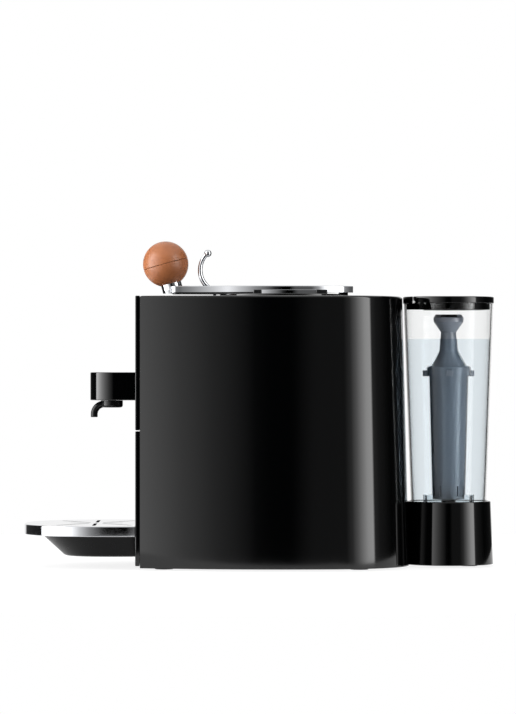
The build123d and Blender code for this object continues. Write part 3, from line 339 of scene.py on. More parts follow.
# ------------------------------------------------------------------ materials
def material(name, colour, roughness, metallic=0.0, vary=0.02, grain=120.0, bump=0.0, alt=None,
             bump_scale=None, **sockets):
    """Principled surface with noise in its roughness, and in its colour and relief if asked."""
    mat = bpy.data.materials.new(name)
    mat.use_nodes = True
    nodes, links = mat.node_tree.nodes, mat.node_tree.links
    shader = nodes["Principled BSDF"]
    shader.inputs["Base Color"].default_value = (*colour, 1)
    shader.inputs["Metallic"].default_value = metallic
    for socket, value in sockets.items():
        shader.inputs[socket.replace("_", " ")].default_value = value
    place = nodes.new("ShaderNodeTexCoord")
    noise = nodes.new("ShaderNodeTexNoise")
    noise.inputs["Scale"].default_value = grain
    noise.inputs["Detail"].default_value = 4
    links.new(place.outputs["Object"], noise.inputs["Vector"])
    spread = nodes.new("ShaderNodeMapRange")
    spread.inputs["From Min"].default_value = 0.3
    spread.inputs["From Max"].default_value = 0.7
    spread.inputs["To Min"].default_value = max(roughness - vary, 0.0)
    spread.inputs["To Max"].default_value = roughness + vary
    links.new(noise.outputs["Fac"], spread.inputs["Value"])
    links.new(spread.outputs["Result"], shader.inputs["Roughness"])
    if alt:
        blend = nodes.new("ShaderNodeMix")
        blend.data_type = "RGBA"
        blend.inputs["A"].default_value = (*colour, 1)
        blend.inputs["B"].default_value = (*alt, 1)
        links.new(noise.outputs["Fac"], blend.inputs["Factor"])
        links.new(blend.outputs["Result"], shader.inputs["Base Color"])
    if bump:
        fine = nodes.new("ShaderNodeTexNoise")
        fine.inputs["Scale"].default_value = bump_scale or grain * 6
        fine.inputs["Detail"].default_value = 3
        links.new(place.outputs["Object"], fine.inputs["Vector"])
        relief = nodes.new("ShaderNodeBump")
        relief.inputs["Strength"].default_value = bump
        relief.inputs["Distance"].default_value = 0.1 * MM
        links.new(fine.outputs["Fac"], relief.inputs["Height"])
        links.new(relief.outputs["Normal"], shader.inputs["Normal"])
    return mat


def leather(name, colour, dark):
    """Waxed leather: pebbled grain from cells, fine pores, and cloudy dye."""
    mat = material(name, colour, 0.42, vary=0.07, grain=90, alt=dark, Coat_Weight=0.12,
                   Coat_Roughness=0.3, Specular_IOR_Level=0.45)
    nodes, links = mat.node_tree.nodes, mat.node_tree.links
    place = nodes["Texture Coordinate"]
    cells = nodes.new("ShaderNodeTexVoronoi")
    cells.feature = "DISTANCE_TO_EDGE"
    cells.inputs["Scale"].default_value = 900
    pores = nodes.new("ShaderNodeTexNoise")
    pores.inputs["Scale"].default_value = 260
    links.new(place.outputs["Object"], pores.inputs["Vector"])
    links.new(place.outputs["Object"], cells.inputs["Vector"])
    total = nodes.new("ShaderNodeMath")
    total.operation = "ADD"
    links.new(cells.outputs["Distance"], total.inputs[0])
    links.new(pores.outputs["Fac"], total.inputs[1])
    relief = nodes.new("ShaderNodeBump")
    relief.inputs["Strength"].default_value = 0.16
    relief.inputs["Distance"].default_value = 0.15 * MM
    links.new(total.outputs["Value"], relief.inputs["Height"])
    links.new(relief.outputs["Normal"], nodes["Principled BSDF"].inputs["Normal"])
    return mat


CUTTER = bpy.data.materials.new("cutter")
GLOSS_BLACK = material("gloss_black", (0.0006, 0.0007, 0.0008), 0.05, vary=0.01, grain=40,
                       bump=0.01, bump_scale=60)
SATIN_BLACK = material("satin_black", (0.0015, 0.0017, 0.002), 0.24, vary=0.04, grain=150,
                       bump=0.04, Specular_IOR_Level=0.3)
MATT_BLACK = material("matt_black", (0.003, 0.0033, 0.004), 0.38, vary=0.06, grain=200, bump=0.25)
DARK_PLASTIC = material("dark_plastic", (0.006, 0.0065, 0.0075), 0.42, vary=0.06, grain=220, bump=0.3)
GREY_PLASTIC = material("grey_plastic", (0.26, 0.265, 0.27), 0.45, vary=0.05, grain=220, bump=0.3)
WHITE_PLASTIC = material("white_plastic", (0.72, 0.72, 0.70), 0.4, vary=0.05, grain=200, bump=0.2)
RUBBER = material("black_rubber", (0.012, 0.012, 0.012), 0.75, vary=0.08, grain=300, bump=0.4)
CHROME = material("polished_chrome", (0.62, 0.63, 0.65), 0.05, metallic=1.0, vary=0.015, grain=60,
                  bump=0.015, bump_scale=90)
STEEL = material("steel", (0.52, 0.53, 0.55), 0.28, metallic=1.0, vary=0.08, grain=260, bump=0.12)
ALUMINIUM = material("cast_aluminium", (0.55, 0.55, 0.56), 0.5, metallic=1.0, vary=0.1, grain=300,
                     bump=0.5)
PUMP_PAINT = material("pump_metal", (0.16, 0.17, 0.19), 0.35, vary=0.06, grain=200, bump=0.2,
                      metallic=0.4)
HOSE = material("clear_hose", (0.70, 0.74, 0.75), 0.3, vary=0.05, grain=150, bump=0.1,
                Transmission_Weight=0.3)
BOARD = material("circuit_board", (0.010, 0.11, 0.035), 0.35, vary=0.05, grain=400, bump=0.2,
                 alt=(0.02, 0.16, 0.05))
FILTER = material("filter_grey", (0.23, 0.26, 0.31), 0.34, vary=0.04, grain=180, bump=0.08,
                  Specular_IOR_Level=1.0)
BUTTON = material("button_face", (0.03, 0.03, 0.033), 0.12, vary=0.03, grain=150, bump=0.03)
CLEAR = material("clear_plastic", (0.985, 0.99, 0.99), 0.005, vary=0.005, grain=30, IOR=1.22,
                 Transmission_Weight=1.0)
WATER = material("water", (0.80, 0.86, 0.90), 0.002, vary=0.002, grain=20, IOR=1.05,
                 Transmission_Weight=1.0)
BOWL_BLACK = material("bowl_black", (0.001, 0.0011, 0.0013), 0.3, vary=0.04, grain=150,
                      Specular_IOR_Level=0.1)
TAN = leather("tan_leather", (0.40, 0.145, 0.055), (0.31, 0.10, 0.036))

FINISH = {
    "gloss_black": GLOSS_BLACK, "matt_black": MATT_BLACK, "satin_black": SATIN_BLACK,
    "black_rubber": RUBBER, "grey_plastic": GREY_PLASTIC, "dark_plastic": DARK_PLASTIC,
    "steel": STEEL, "cast_aluminium": ALUMINIUM, "pump_metal": PUMP_PAINT,
    "white_plastic": WHITE_PLASTIC, "clear_hose": HOSE, "circuit_board": BOARD,
    "button_face": BUTTON, "polished_chrome": CHROME, "tan_leather": TAN,
    "clear_plastic": CLEAR, "filter_grey": FILTER,
}
for part in frame["record"]["subparts"]:
    slots = NODES[part["node"]].data.materials
    slots.clear()
    slots.append(FINISH[part["material_slot"]])


# ------------------------------------------------------------------ plans shared with the design
def between(pair, z):
    """Value at height z of a size that changes evenly from the body's foot to its top."""
    share = (z - BODY_LOW) / (BODY_HIGH - BODY_LOW)
    return pair[0] + (pair[1] - pair[0]) * share


def body_plan(z, move=0.0):
    """Anticlockwise plan of the body at height z, drawn in by move."""
    front_half, wide_half, rear_x = (between(p, z) for p in (FRONT_HALF, WIDE_HALF, REAR_X))
    reach = WIDE_X - BODY_FRONT
    sagitta = wide_half - front_half
    side_r = (reach**2 + sagitta**2) / (2 * sagitta)
    side_y = wide_half - side_r
    corner_r = CORNER_RATIO * wide_half
    corner_x = rear_x - corner_r
    corner_y = side_y + sqrt((side_r - corner_r) ** 2 - (corner_x - WIDE_X) ** 2)
    joint = atan2(corner_y - side_y, corner_x - WIDE_X)
    front = acos(-(reach - move) / (side_r - move))
    half = arc(corner_x, corner_y, corner_r - move, 0, joint, 24)
    half += arc(WIDE_X, side_y, side_r - move, joint, front, 72)[1:]
    front_y = half[-1][1]
    half[-1] = (BODY_FRONT + move, front_y)
    mirrored = [(x, -y) for x, y in reversed(half)]
    return half + [(BODY_FRONT + move, front_y * k / 6) for k in range(5, -6, -1)] + mirrored


def tray_plan(move, rear_x, steps=120):
    """Anticlockwise plan of the tray: a superellipse, cut straight across at rear_x."""
    length, half = TRAY_LENGTH - move, TRAY_HALF - move
    end = pi - acos(((rear_x - TRAY_X) / length) ** (TRAY_POWER / 2))
    outline = []
    for step in range(-steps, steps + 1):
        share = step / steps
        turn = end * share
        along = abs(cos(turn)) ** (2 / TRAY_POWER)
        across = abs(sin(turn)) ** (2 / TRAY_POWER)
        x = TRAY_X - length * (along if cos(turn) > 0 else -along)
        y = -half * (across if turn > 0 else -across)
        outline.append((x, y))
    outline[0] = (rear_x, outline[0][1])
    outline[-1] = (rear_x, outline[-1][1])
    return outline


def arm_plan(move=0.0, nose=6 * MM, tail=1.5 * MM):
    """Anticlockwise plan of the lever: a waisted handle that swells into a leaf."""
    fore_y = ARM_HALF - ARM_FORE_R
    slope = (ARM_WIDE_X - ARM_FORE_X) / ARM_FORE_R
    fore_turn = acos(-slope)
    rear_y = ARM_HALF - ARM_REAR_R
    rear_x = ARM_REAR - move
    rear_turn = acos((rear_x - ARM_WIDE_X) / (ARM_REAR_R - move))
    half = arc(ARM_WIDE_X, rear_y, ARM_REAR_R - move, rear_turn, pi / 2, 36)
    half += arc(ARM_WIDE_X, fore_y, ARM_FORE_R - move, pi / 2, fore_turn, 28)[1:]
    neck_x = ARM_WIDE_X - (ARM_FORE_R + ARM_NECK_R) * slope
    neck_y = fore_y + (ARM_FORE_R + ARM_NECK_R) * sqrt(1 - slope**2)
    neck_turn = -acos((ARM_FRONT + move - neck_x) / (ARM_NECK_R + move))
    neck = arc(neck_x, neck_y, ARM_NECK_R + move, fore_turn - pi, neck_turn, 24)[1:]
    # the neck's points beside the nose are left out, so that its corner can be rounded
    outline = half + [point for point in neck if point[0] > ARM_FRONT + nose + 3 * MM] + neck[-1:]
    last = len(outline) - 1
    outline += [(x, -y) for x, y in reversed(outline)]
    radii = {last: nose, last + 1: nose, 0: tail, len(outline) - 1: tail}
    return rounded(outline, radii, 10)


# ------------------------------------------------------------------ body
def build_body():
    """Gloss shell with a rounded shoulder, open under the lever, at the drawer and the rear."""
    levels = 10
    top = BODY_HIGH - SHOULDER
    rings = []
    for k in range(levels + 1):
        z = BODY_LOW + (top - BODY_LOW) * k / levels
        rings.append([(x, y, z) for x, y in body_plan(z)])
    for move, drop in edge_steps(SHOULDER, 8)[1:]:
        z = BODY_HIGH - drop
        rings.append([(x, y, z) for x, y in body_plan(z, move)])
    # the front panel stays flat up to the roof, with no shoulder
    for ring in rings[levels + 1:]:
        for i, (x, y, z) in enumerate(ring):
            if x < BODY_FRONT + SHOULDER + 0.1 * MM and abs(y) < between(FRONT_HALF, z) - WALL:
                ring[i] = (BODY_FRONT, y, z)
    under = BODY_HIGH - ROOF
    inner = [[(x, y, z) for x, y in body_plan(z, WALL)] for z in (BODY_LOW, under)]
    count = len(rings[0])
    verts, faces = stack(rings, cap_start=False)
    first = len(verts)
    more, inner_faces = stack(inner, cap_start=False)
    verts += more
    faces += [tuple(first + i for i in reversed(face)) for face in inner_faces]
    for i in range(count):
        j = (i + 1) % count
        faces.append((i, first + i, first + j, j))
    shell = piece("body_shell", verts, faces, GLOSS_BLACK, 35)
    drawer_bay = block((-125 * MM, -60.5 * MM, 5 * MM), (-108 * MM, 60.5 * MM, 124 * MM))
    inlet = rod((PANEL_X, 0, 176 * MM), ALONG, 8 * MM, 12 * MM)
    buttons = [rod((PANEL_X, y, BUTTON_Z), ALONG, 9 * MM, 12 * MM)
               for y in (-BUTTON_Y, 0, BUTTON_Y)]
    pod_well = rod((WELL_X, 0, 262 * MM), UP, 33 * MM, 10 * MM)
    hinge_well = block((70 * MM, -19 * MM, 257 * MM), (98.5 * MM, 19 * MM, 267 * MM))
    latch_slot = block((-49 * MM, -7 * MM, 257 * MM), (-39 * MM, 7 * MM, 267 * MM))
    water_pipe = rod((143 * MM, 0, 32 * MM), ALONG, 5 * MM, 20 * MM)
    gland = rod((140 * MM, 58 * MM, 24 * MM), ALONG, 6.2 * MM, 30 * MM)
    cut(shell, [drawer_bay, inlet, *buttons, pod_well, hinge_well, latch_slot, water_pipe, gland],
        35)
    stand_for(shell, "chassis", "gloss_black", "outer_shell")


def build_deck():
    """Raised disc under the lever with a soft edge, open over the well and the hinge."""
    deck_low, deck_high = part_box("top_deck")
    outline = circle(24 * MM, 63 * MM, 180)
    deck = slab("deck", outline, deck_low.z, deck_high.z, GLOSS_BLACK, top_round=0.7 * MM)
    pod_well = rod((WELL_X, 0, 265 * MM), UP, 31.3 * MM, 10 * MM)
    hinge_well = block((68.5 * MM, -19.75 * MM, 260 * MM), (100 * MM, 19.75 * MM, 270 * MM))
    cut(deck, [pod_well, hinge_well])
    stand_for(deck, "chassis", "gloss_black", "top_deck")


def build_spout():
    """Gloss spout block, round in front and flat where it meets the panel."""
    low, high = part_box("spout_housing")
    half, wall = high.y, 2.5 * MM
    outline = [(high.x, -half), (high.x, half)]
    outline += arc(low.x + half, 0, half, pi / 2, 3 * pi / 2, 64)
    spout = slab("spout", outline, low.z, high.z, GLOSS_BLACK, top_round=0.8 * MM,
                 foot_round=0.8 * MM)
    inside = [(high.x + 1 * MM, wall - half), (high.x + 1 * MM, half - wall)]
    inside += arc(low.x + half, 0, half - wall, pi / 2, 3 * pi / 2, 64)
    cavity = slab("cutter", inside, low.z + wall, high.z - wall, CUTTER)
    bore = rod((OUTLET_X, 0, low.z), UP, 4.05 * MM, 10 * MM)
    cut(spout, [cavity, bore])
    stand_for(spout, "chassis", "gloss_black", "spout_housing")


def build_nozzle():
    """Swivelling nozzle: a round hub that narrows to a bent tube with a rolled lip."""
    low, high = 155.2 * MM, 162.1 * MM
    bend_x, front_x, tip = -152.4 * MM, -162.1 * MM, 145.8 * MM
    hub_r, tube_r, bore_r, lip = 10.5 * MM, 3.4 * MM, 1.8 * MM, 0.35 * MM
    mid = (low + high) / 2
    bend_r = mid - tip - 3 * MM
    lean = acos((hub_r - tube_r) / (OUTLET_X - bend_x))
    outline = arc(OUTLET_X, 0, hub_r, -(pi - lean), pi - lean, 48)
    outline += arc(bend_x, 0, tube_r, pi - lean, pi + lean, 24)
    hub = slab("hub", outline, low, high, SATIN_BLACK, top_round=0.5 * MM, foot_round=2.4 * MM)

    def route(steps, ends):
        bend = arc(front_x + bend_r, mid - bend_r, bend_r, pi / 2, pi, steps)
        path = [(OUTLET_X, 0, mid), (bend_x, 0, mid)] + [(x, 0, z) for x, z in bend]
        return path + [(front_x, 0, tip + end) for end in ends]

    path = route(24, (1.4 * MM, 0.5 * MM, 0))
    neck = tube("neck", path, [tube_r] * (len(path) - 1) + [tube_r - lip], SATIN_BLACK, 40, 50)
    spigot = rod((OUTLET_X, 0, high + 2.9 * MM), UP, 4 * MM, 6 * MM)
    cut(hub, [neck, spigot], 50, "UNION")
    bore = route(16, (-2 * MM,))
    cut(hub, [tube("cutter", bore, [bore_r] * len(bore), CUTTER, 24),
              rod((OUTLET_X, 0, 163 * MM), UP, bore_r, 12 * MM)], 50)
    hub.name = "nozzle"
    stand_for(hub, "nozzle", "satin_black", "outlet_nozzle")


# ------------------------------------------------------------------ tray and bowl
def build_tray():
    """Chrome tray with a rolled edge, an even rim and drain slots fanning from under the cup."""
    low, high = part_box("drip_grate")
    rear = high.x
    skin, rib_outer, rib_inner = 3 * MM, 16 * MM, 20 * MM
    slot_r, slot_start, slot_stop, short_stop = 1.6 * MM, 12 * MM, 66 * MM, 26 * MM
    tray = slab("cup_tray", tray_plan(0, rear), low.z, high.z, CHROME, top_round=0.9 * MM,
                foot_round=0.4 * MM, sharp=35)
    # hollow from below: the middle, and a ring inside the rim, with a rib between them
    roof = high.z - 1.8 * MM
    middle = slab("cutter", tray_plan(rib_inner, rear - skin), low.z - 1 * MM, roof, CUTTER)
    ring = slab("cutter", tray_plan(skin, rear - skin), low.z - 1 * MM, roof, CUTTER)
    keep = slab("cutter", tray_plan(rib_outer, rear + 1 * MM), low.z - 2 * MM, roof + 1 * MM,
                CUTTER)
    cut(ring, [keep])
    slots = []
    for turn in (0, 57, 90, 123, 180, 237, 270, 303):
        t = radians(turn)
        stop = slot_stop if turn % 180 else short_stop
        near, far = (Vector((CUP_X, 0)) + Vector((cos(t), sin(t))) * r
                     for r in (slot_start + slot_r, stop - slot_r))
        outline = arc(near.x, near.y, slot_r, t + pi / 2, t + 3 * pi / 2, 10)
        outline += arc(far.x, far.y, slot_r, t - pi / 2, t + pi / 2, 10)
        slots.append(slab("cutter", outline, high.z - 4 * MM, high.z + 2 * MM, CUTTER))
    cut(tray, [middle, ring] + slots, 35)
    stand_for(tray, "grate", "polished_chrome", "drip_grate")


def build_bowl():
    """Drip bowl whose sides sweep in to a smaller foot."""
    low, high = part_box("drip_bowl")
    rear = high.x
    foot_in, flare, foot_r, wall = 39.5 * MM, 22.5 * MM, 7 * MM, 2 * MM
    slope = flare / (high.z - low.z)
    lean = atan2(flare, high.z - low.z)
    touch = foot_r * (1 - sin(lean)) / cos(lean)
    rings = []
    # from the flat foot, round the corner, up to the straight side
    for k in range(11):
        turn = (pi / 2 - lean) * k / 10
        z = low.z + foot_r * (1 - cos(turn))
        plan = tray_plan(foot_in + touch - foot_r * sin(turn), rear)
        rings.append([(x, y, z) for x, y in plan])
    corner = low.z + foot_r * (1 - sin(lean))
    for k in range(1, 7):
        z = corner + (high.z - corner) * k / 6
        rings.append([(x, y, z) for x, y in tray_plan(foot_in - slope * (z - low.z), rear)])
    for z, step in ((high.z, 0), (low.z + wall + 3 * MM, 0), (low.z + wall, 2 * MM)):
        move = foot_in - slope * (z - low.z) + wall + step
        rings.append([(x, y, z) for x, y in tray_plan(move, rear - wall)])
    verts, faces = stack(rings)
    bowl = piece("drip_bowl_smooth", verts, faces, BOWL_BLACK, 35)
    stand_for(bowl, "drawer", "satin_black", "drip_bowl")


# ------------------------------------------------------------------ lever
def ball_seat():
    """Cutter for the end of the ball's stub."""
    return rod(BALL - BALL_AXIS * 30 * MM, BALL_AXIS, STUB_R + 0.1 * MM, 30 * MM)


def horn_slot():
    """Cutter for the slot that the horn comes up through."""
    return block((-59.5 * MM, -3.2 * MM, 260 * MM), (-42.5 * MM, 3.2 * MM, 280 * MM))


def build_arm():
    """Chrome leaf-shaped lever with soft edges, a seat for the ball and a slot for the horn."""
    arm = slab("lever_leaf", arm_plan(), ARM_LOW, ARM_HIGH, CHROME, top_round=1.0 * MM,
               foot_round=0.4 * MM, sharp=35)
    cut(arm, [ball_seat(), horn_slot()], 35)
    lug_r, lug_half = 4.6 * MM, 7.5 * MM
    pivot = Vector((PIVOT[0], 0, PIVOT[1]))
    lug = rod(pivot, ACROSS, lug_r, 2 * lug_half)
    riser = block((PIVOT[0] - lug_r, -lug_half, PIVOT[1]),
                  (PIVOT[0] + lug_r, lug_half, ARM_LOW + 1 * MM))
    cut(arm, [lug, riser], 35, "UNION")
    cut(arm, [rod(pivot, ACROSS, 2.05 * MM, 20 * MM)], 35)
    stand_for(arm, "lever", "polished_chrome", "lever_arm")

    low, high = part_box("arm_liner")
    liner = slab("lever_liner", arm_plan(1.2 * MM), low.z, high.z, DARK_PLASTIC)
    rear_part = block((-6 * MM, -60 * MM, 260 * MM), (120 * MM, 60 * MM, 280 * MM))
    latch = block((-46.5 * MM, -5.5 * MM, 260 * MM), (-38.5 * MM, 5.5 * MM, 280 * MM))
    cut(liner, [rear_part, horn_slot(), latch, ball_seat()])
    stand_for(liner, "lever", "dark_plastic", "arm_liner")


def arm_pocket():
    """Cutter with the lever's own outline."""
    return slab("cutter", arm_plan(), ARM_LOW, 280 * MM, CUTTER)


def build_carrier():
    """Bowed metal plate under the lever with a dark clamp lug at each end of both sides."""
    low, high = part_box("cap_carrier")
    radius, half = 110 * MM, 36.3 * MM
    front, rear = -4 * MM, 64 * MM
    offset = radius - half
    rear_turn = acos((rear - WELL_X) / radius)
    front_turn = acos((front - WELL_X) / radius)
    outline = arc(WELL_X, -offset, radius, rear_turn, front_turn, 48)
    outline += arc(WELL_X, offset, radius, -front_turn, -rear_turn, 48)
    plate = slab("carrier_band", outline, low.z, high.z, CHROME, top_round=0.3 * MM,
                 foot_round=0.3 * MM)
    screws = [rod((x * MM, y * MM, 268 * MM), UP, 1.5 * MM, 8 * MM)
              for x in (4, 56) for y in (-14, 14)]
    cut(plate, [arm_pocket()] + screws)
    stand_for(plate, "lever", "polished_chrome", "cap_carrier")

    lugs = []
    inner = 26 * MM
    for front, rear, outer in ((-6 * MM, 2 * MM, 33.8 * MM), (55 * MM, 66 * MM, 35 * MM)):
        for side in (-1, 1):
            near, far = sorted((side * inner, side * outer))
            corners = [(front, near), (rear, near), (rear, far), (front, far)]
            outline = rounded(corners, {i: 1 * MM for i in range(4)}, 5)
            lug = slab("lug", outline, low.z - 0.05 * MM, high.z, MATT_BLACK, top_round=0.4 * MM,
                       foot_round=0.2 * MM)
            lugs.append(cut(lug, [arm_pocket()]))
    clamps = join("carrier_clamps", lugs)
    tidy(clamps)
    stand_for(clamps, "lever", "matt_black")


def build_ball():
    """Leather ball in two halves with a sunk seam, on a chrome stub."""
    place = Matrix.Translation(BALL) @ Matrix.Rotation(-BALL_TILT, 4, "Y")
    seam, groove, cap = 0.15 * MM, 0.45 * MM, 8 * MM
    edge_r = BALL_R - groove
    lip = asin((seam + groove) / BALL_R)
    for name, node, side in (("grip_upper", "ball_upper", 1), ("grip_lower", "ball_lower", -1)):
        profile = []
        # rolled edge at the seam, then the sphere, then the bore of the bolt
        for k in range(7):
            t = pi / 2 * k / 6
            r = edge_r + (BALL_R * cos(lip) - edge_r) * sin(t)
            h = seam + (BALL_R * sin(lip) - seam) * (1 - cos(t))
            profile.append((r, side * h))
        end = acos(BALL_BORE / BALL_R) if side < 0 else pi / 2
        for k in range(1, 49):
            t = lip + (end - lip) * k / 48
            profile.append((BALL_R * cos(t), side * BALL_R * sin(t)))
        if side < 0:
            profile.append((BALL_BORE, -seam))
        else:
            profile[-1] = (0.0, BALL_R)
            profile += [(0.0, cap), (BALL_BORE, cap), (BALL_BORE, seam)]
        half = lathe(name, profile, TAN, turns=144, sharp=50, place=place)
        stand_for(half, "lever", "tan_leather", node)

    stub = rod(BALL - BALL_AXIS * 25 * MM, BALL_AXIS, STUB_R, 50 * MM)
    stub.name = "grip_stub"
    stub.data.materials[0] = CHROME
    sphere = lathe("cutter", half_circle(BALL_R, 48), CUTTER, turns=96,
                   place=Matrix.Translation(BALL))
    below = block((-140 * MM, -40 * MM, 220 * MM), (-50 * MM, 40 * MM, 266.8 * MM))
    bore = rod(BALL - BALL_AXIS * 25 * MM, BALL_AXIS, BALL_BORE, 60 * MM)
    cut(stub, [sphere, below, bore], 50)
    stand_for(stub, "lever", "polished_chrome", "ball_socket")


def build_horn():
    """Curved chrome horn that thickens to a round tip, on its pin."""
    middle, radius = Vector((-35.8 * MM, 0, 290 * MM)), 22.4 * MM
    start, stop = radians(135), radians(232)
    thin, thick = 2.1 * MM, 2.5 * MM
    steps = 40
    path, radii = [], []
    for k in range(steps + 1):
        t = start + (stop - start) * k / steps
        path.append(middle + Vector((cos(t), 0, sin(t))) * radius)
        radii.append(thin + (thick - thin) * k / steps)
    horn = tube("horn", path, radii, CHROME, 36, 50)
    tip = lathe("cutter", half_circle(3.6 * MM, 24), CUTTER, turns=40,
                place=Matrix.Translation((-50.6 * MM, 0, 306.4 * MM)))
    foot = rod(HORN_PIN, ACROSS, 3 * MM, 5.6 * MM)
    cut(horn, [tip, foot], 50, "UNION")
    cut(horn, [rod(HORN_PIN, ACROSS, 1.05 * MM, 10 * MM)], 50)
    stand_for(horn, "trigger", "polished_chrome", "trigger_horn")


# ------------------------------------------------------------------ tank
def build_tank():
    """Clear vessel with real wall thickness, and its water."""
    low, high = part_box("tank_vessel")
    foot, rim, wall, floor, valve = 36.9 * MM, 44 * MM, 2.2 * MM, 3 * MM, 7 * MM
    inside = low.z + floor

    def inner(z):
        return foot - wall + (rim - foot) * (z - inside) / (high.z - inside)

    profile = [(valve, low.z), (foot - 1.2 * MM, low.z)]
    profile += [(foot - 1.2 * MM * (1 - sin(t)), low.z + 1.2 * MM * (1 - cos(t)))
                for t in [pi / 2 * k / 5 for k in range(1, 6)]]
    profile += [(foot + (rim - foot) * k / 12, low.z + (high.z - low.z) * k / 12)
                for k in range(2, 12)]
    profile += [(rim, high.z - 0.3 * MM), (rim - 0.3 * MM, high.z),
                (rim - wall + 0.3 * MM, high.z), (rim - wall, high.z - 0.3 * MM)]
    profile += [(inner(inside + (high.z - inside) * k / 12), inside + (high.z - inside) * k / 12)
                for k in range(11, 0, -1)]
    profile += [(foot - wall - 0.3 * MM, inside), (24 * MM, inside), (24 * MM, 69.5 * MM),
                (21.5 * MM, 69.5 * MM), (21.5 * MM, inside), (valve, inside)]
    vessel = lathe("clear_vessel", profile, CLEAR, TANK_X, 180, 30)
    stand_for(vessel, "tank", "clear_plastic", "tank_vessel")

    # water up to its level, a hair inside the wall and round the filter
    level = 222.2 * MM
    gap = 0.05 * MM
    water = [(24.1 * MM, inside + gap), (inner(inside) - 0.5 * MM, inside + gap)]
    water += [(inner(inside + (level - inside) * k / 10) - gap, inside + (level - inside) * k / 10)
              for k in range(1, 11)]
    water += [(8.1 * MM, level), (8.8 * MM, 211.5 * MM), (9.4 * MM, 210 * MM)]
    water += [((17 - 7.8 * k / 8 + 0.2) * MM, (196 + 14 * k / 8) * MM) for k in range(7, -1, -1)]
    water += [(19.8 * MM, 196.2 * MM), (21 * MM, 194.6 * MM), (21 * MM, 185.9 * MM),
              (18.7 * MM, 185.9 * MM), (15.8 * MM, 70 * MM), (24.1 * MM, 70 * MM)]
    pool = lathe("water", water, WATER, TANK_X, 180, 30)
    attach(pool, "tank")
    even(pool)


def build_base():
    """Gloss base of the tank with a soft shoulder, hollow, cut to the body behind it."""
    low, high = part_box("tank_base")
    foot, top, spigot = 43.7 * MM, 41.3 * MM, 12 * MM
    profile = [(0, low.z), (foot, low.z), (top, high.z), (38.4 * MM, high.z),
               (38.2 * MM, 60.1 * MM), (spigot, 60.1 * MM), (spigot, 56 * MM),
               (38.5 * MM, 56 * MM), (foot - 2.5 * MM, 5 * MM), (0, 5 * MM)]
    profile = rounded(profile, {1: 0.6 * MM, 2: 1.4 * MM, 3: 0.5 * MM})
    base = lathe("tank_stand", profile, GLOSS_BLACK, TANK_X, 160, 35)
    rings = [[(x, y, z) for x, y in body_plan(z, -0.1 * MM)] for z in (1 * MM, 84 * MM)]
    verts, faces = stack(rings)
    body = piece("cutter", verts, faces, CUTTER)
    pipe_bay = block((133 * MM, -12 * MM, 7 * MM), (150 * MM, 12 * MM, 53 * MM))
    cut(base, [body, pipe_bay], 35)
    stand_for(base, "chassis", "gloss_black", "tank_base")


def lid_span(x0, x1, y0=-60 * MM, y1=60 * MM):
    """Cutter through the lid's whole height, between two places along the machine."""
    return block((x0, y0, 240 * MM), (x1, y1, 280 * MM))


def build_lid():
    """Gloss lid with a rounded edge and a hollow underside, behind its fixed hinge cover."""
    high, under, cover_under = 263.7 * MM, 257.3 * MM, 257.02 * MM
    front, rear = 100 * MM, 260 * MM
    skirt_r, skirt_low, skirt_high, skirt_wall = 40.6 * MM, 251 * MM, 261.8 * MM, 2.2 * MM
    plan = circle(TANK_X, LID_R, 180)
    lid = slab("lid", plan, under, high, GLOSS_BLACK, top_round=1.3 * MM, foot_round=0.3 * MM)
    cut(lid, [lid_span(front, 150 * MM)])
    hollow = rod((TANK_X, 0, under + 1.5 * MM), UP, LID_R - 3 * MM, 5 * MM)
    cut(hollow, [lid_span(front, 158 * MM)])
    skirt = lathe("skirt", [(skirt_r - skirt_wall, skirt_low), (skirt_r, skirt_low),
                            (skirt_r, skirt_high), (skirt_r - skirt_wall, skirt_high)],
                  GLOSS_BLACK, TANK_X, 140)
    cut(skirt, [lid_span(front, 161.5 * MM)])
    # the lid's lower front edge is cut back, so that it clears the cover as it opens
    chamfer = [(149 * MM, 257 * MM), (152.4 * MM, 257.3 * MM), (149.9 * MM, 259.8 * MM)]
    verts, faces = stack([[(x, y, z) for x, z in chamfer] for y in (-30 * MM, 30 * MM)])
    wedge = piece("cutter", verts, faces, CUTTER)
    notches = [block((149.3 * MM, y - 2.1 * MM, 257.2 * MM), (156.7 * MM, y + 2.1 * MM, 270 * MM))
               for y in (-LID_EAR_Y, LID_EAR_Y)]
    cut(lid, [hollow, wedge, *notches, rod(LID_PIN, ACROSS, 1.15 * MM, 28.6 * MM)])
    cut(lid, [skirt], 40, "UNION")
    stand_for(lid, "lid", "gloss_black", "tank_lid")

    cover = slab("hinge_cover", plan, cover_under, high, GLOSS_BLACK, top_round=1.0 * MM)
    cut(cover, [lid_span(149.2 * MM, rear)])
    core_rear, core_half = 161 * MM, 15 * MM
    core = slab("cutter", circle(TANK_X, 41.4 * MM, 180), skirt_low, 257.1 * MM, CUTTER)
    cut(core, [lid_span(core_rear, rear), lid_span(front, core_rear, y1=-core_half),
               lid_span(front, core_rear, y0=core_half)])
    ears = []
    for y in (-LID_EAR_Y, LID_EAR_Y):
        ears.append(block((LID_PIN.x - 1.5 * MM, y - 1.7 * MM, 256 * MM),
                          (LID_PIN.x + 1.5 * MM, y + 1.7 * MM, LID_PIN.z)))
        ears.append(rod(LID_PIN + Vector((0, y, 0)), ACROSS, 2.3 * MM, 3.4 * MM))
    cut(cover, [core] + ears, 40, "UNION")
    cut(cover, [rod(LID_PIN, ACROSS, 1.1 * MM, 40 * MM)])
    stand_for(cover, "tank", "gloss_black", "lid_hinge_block")


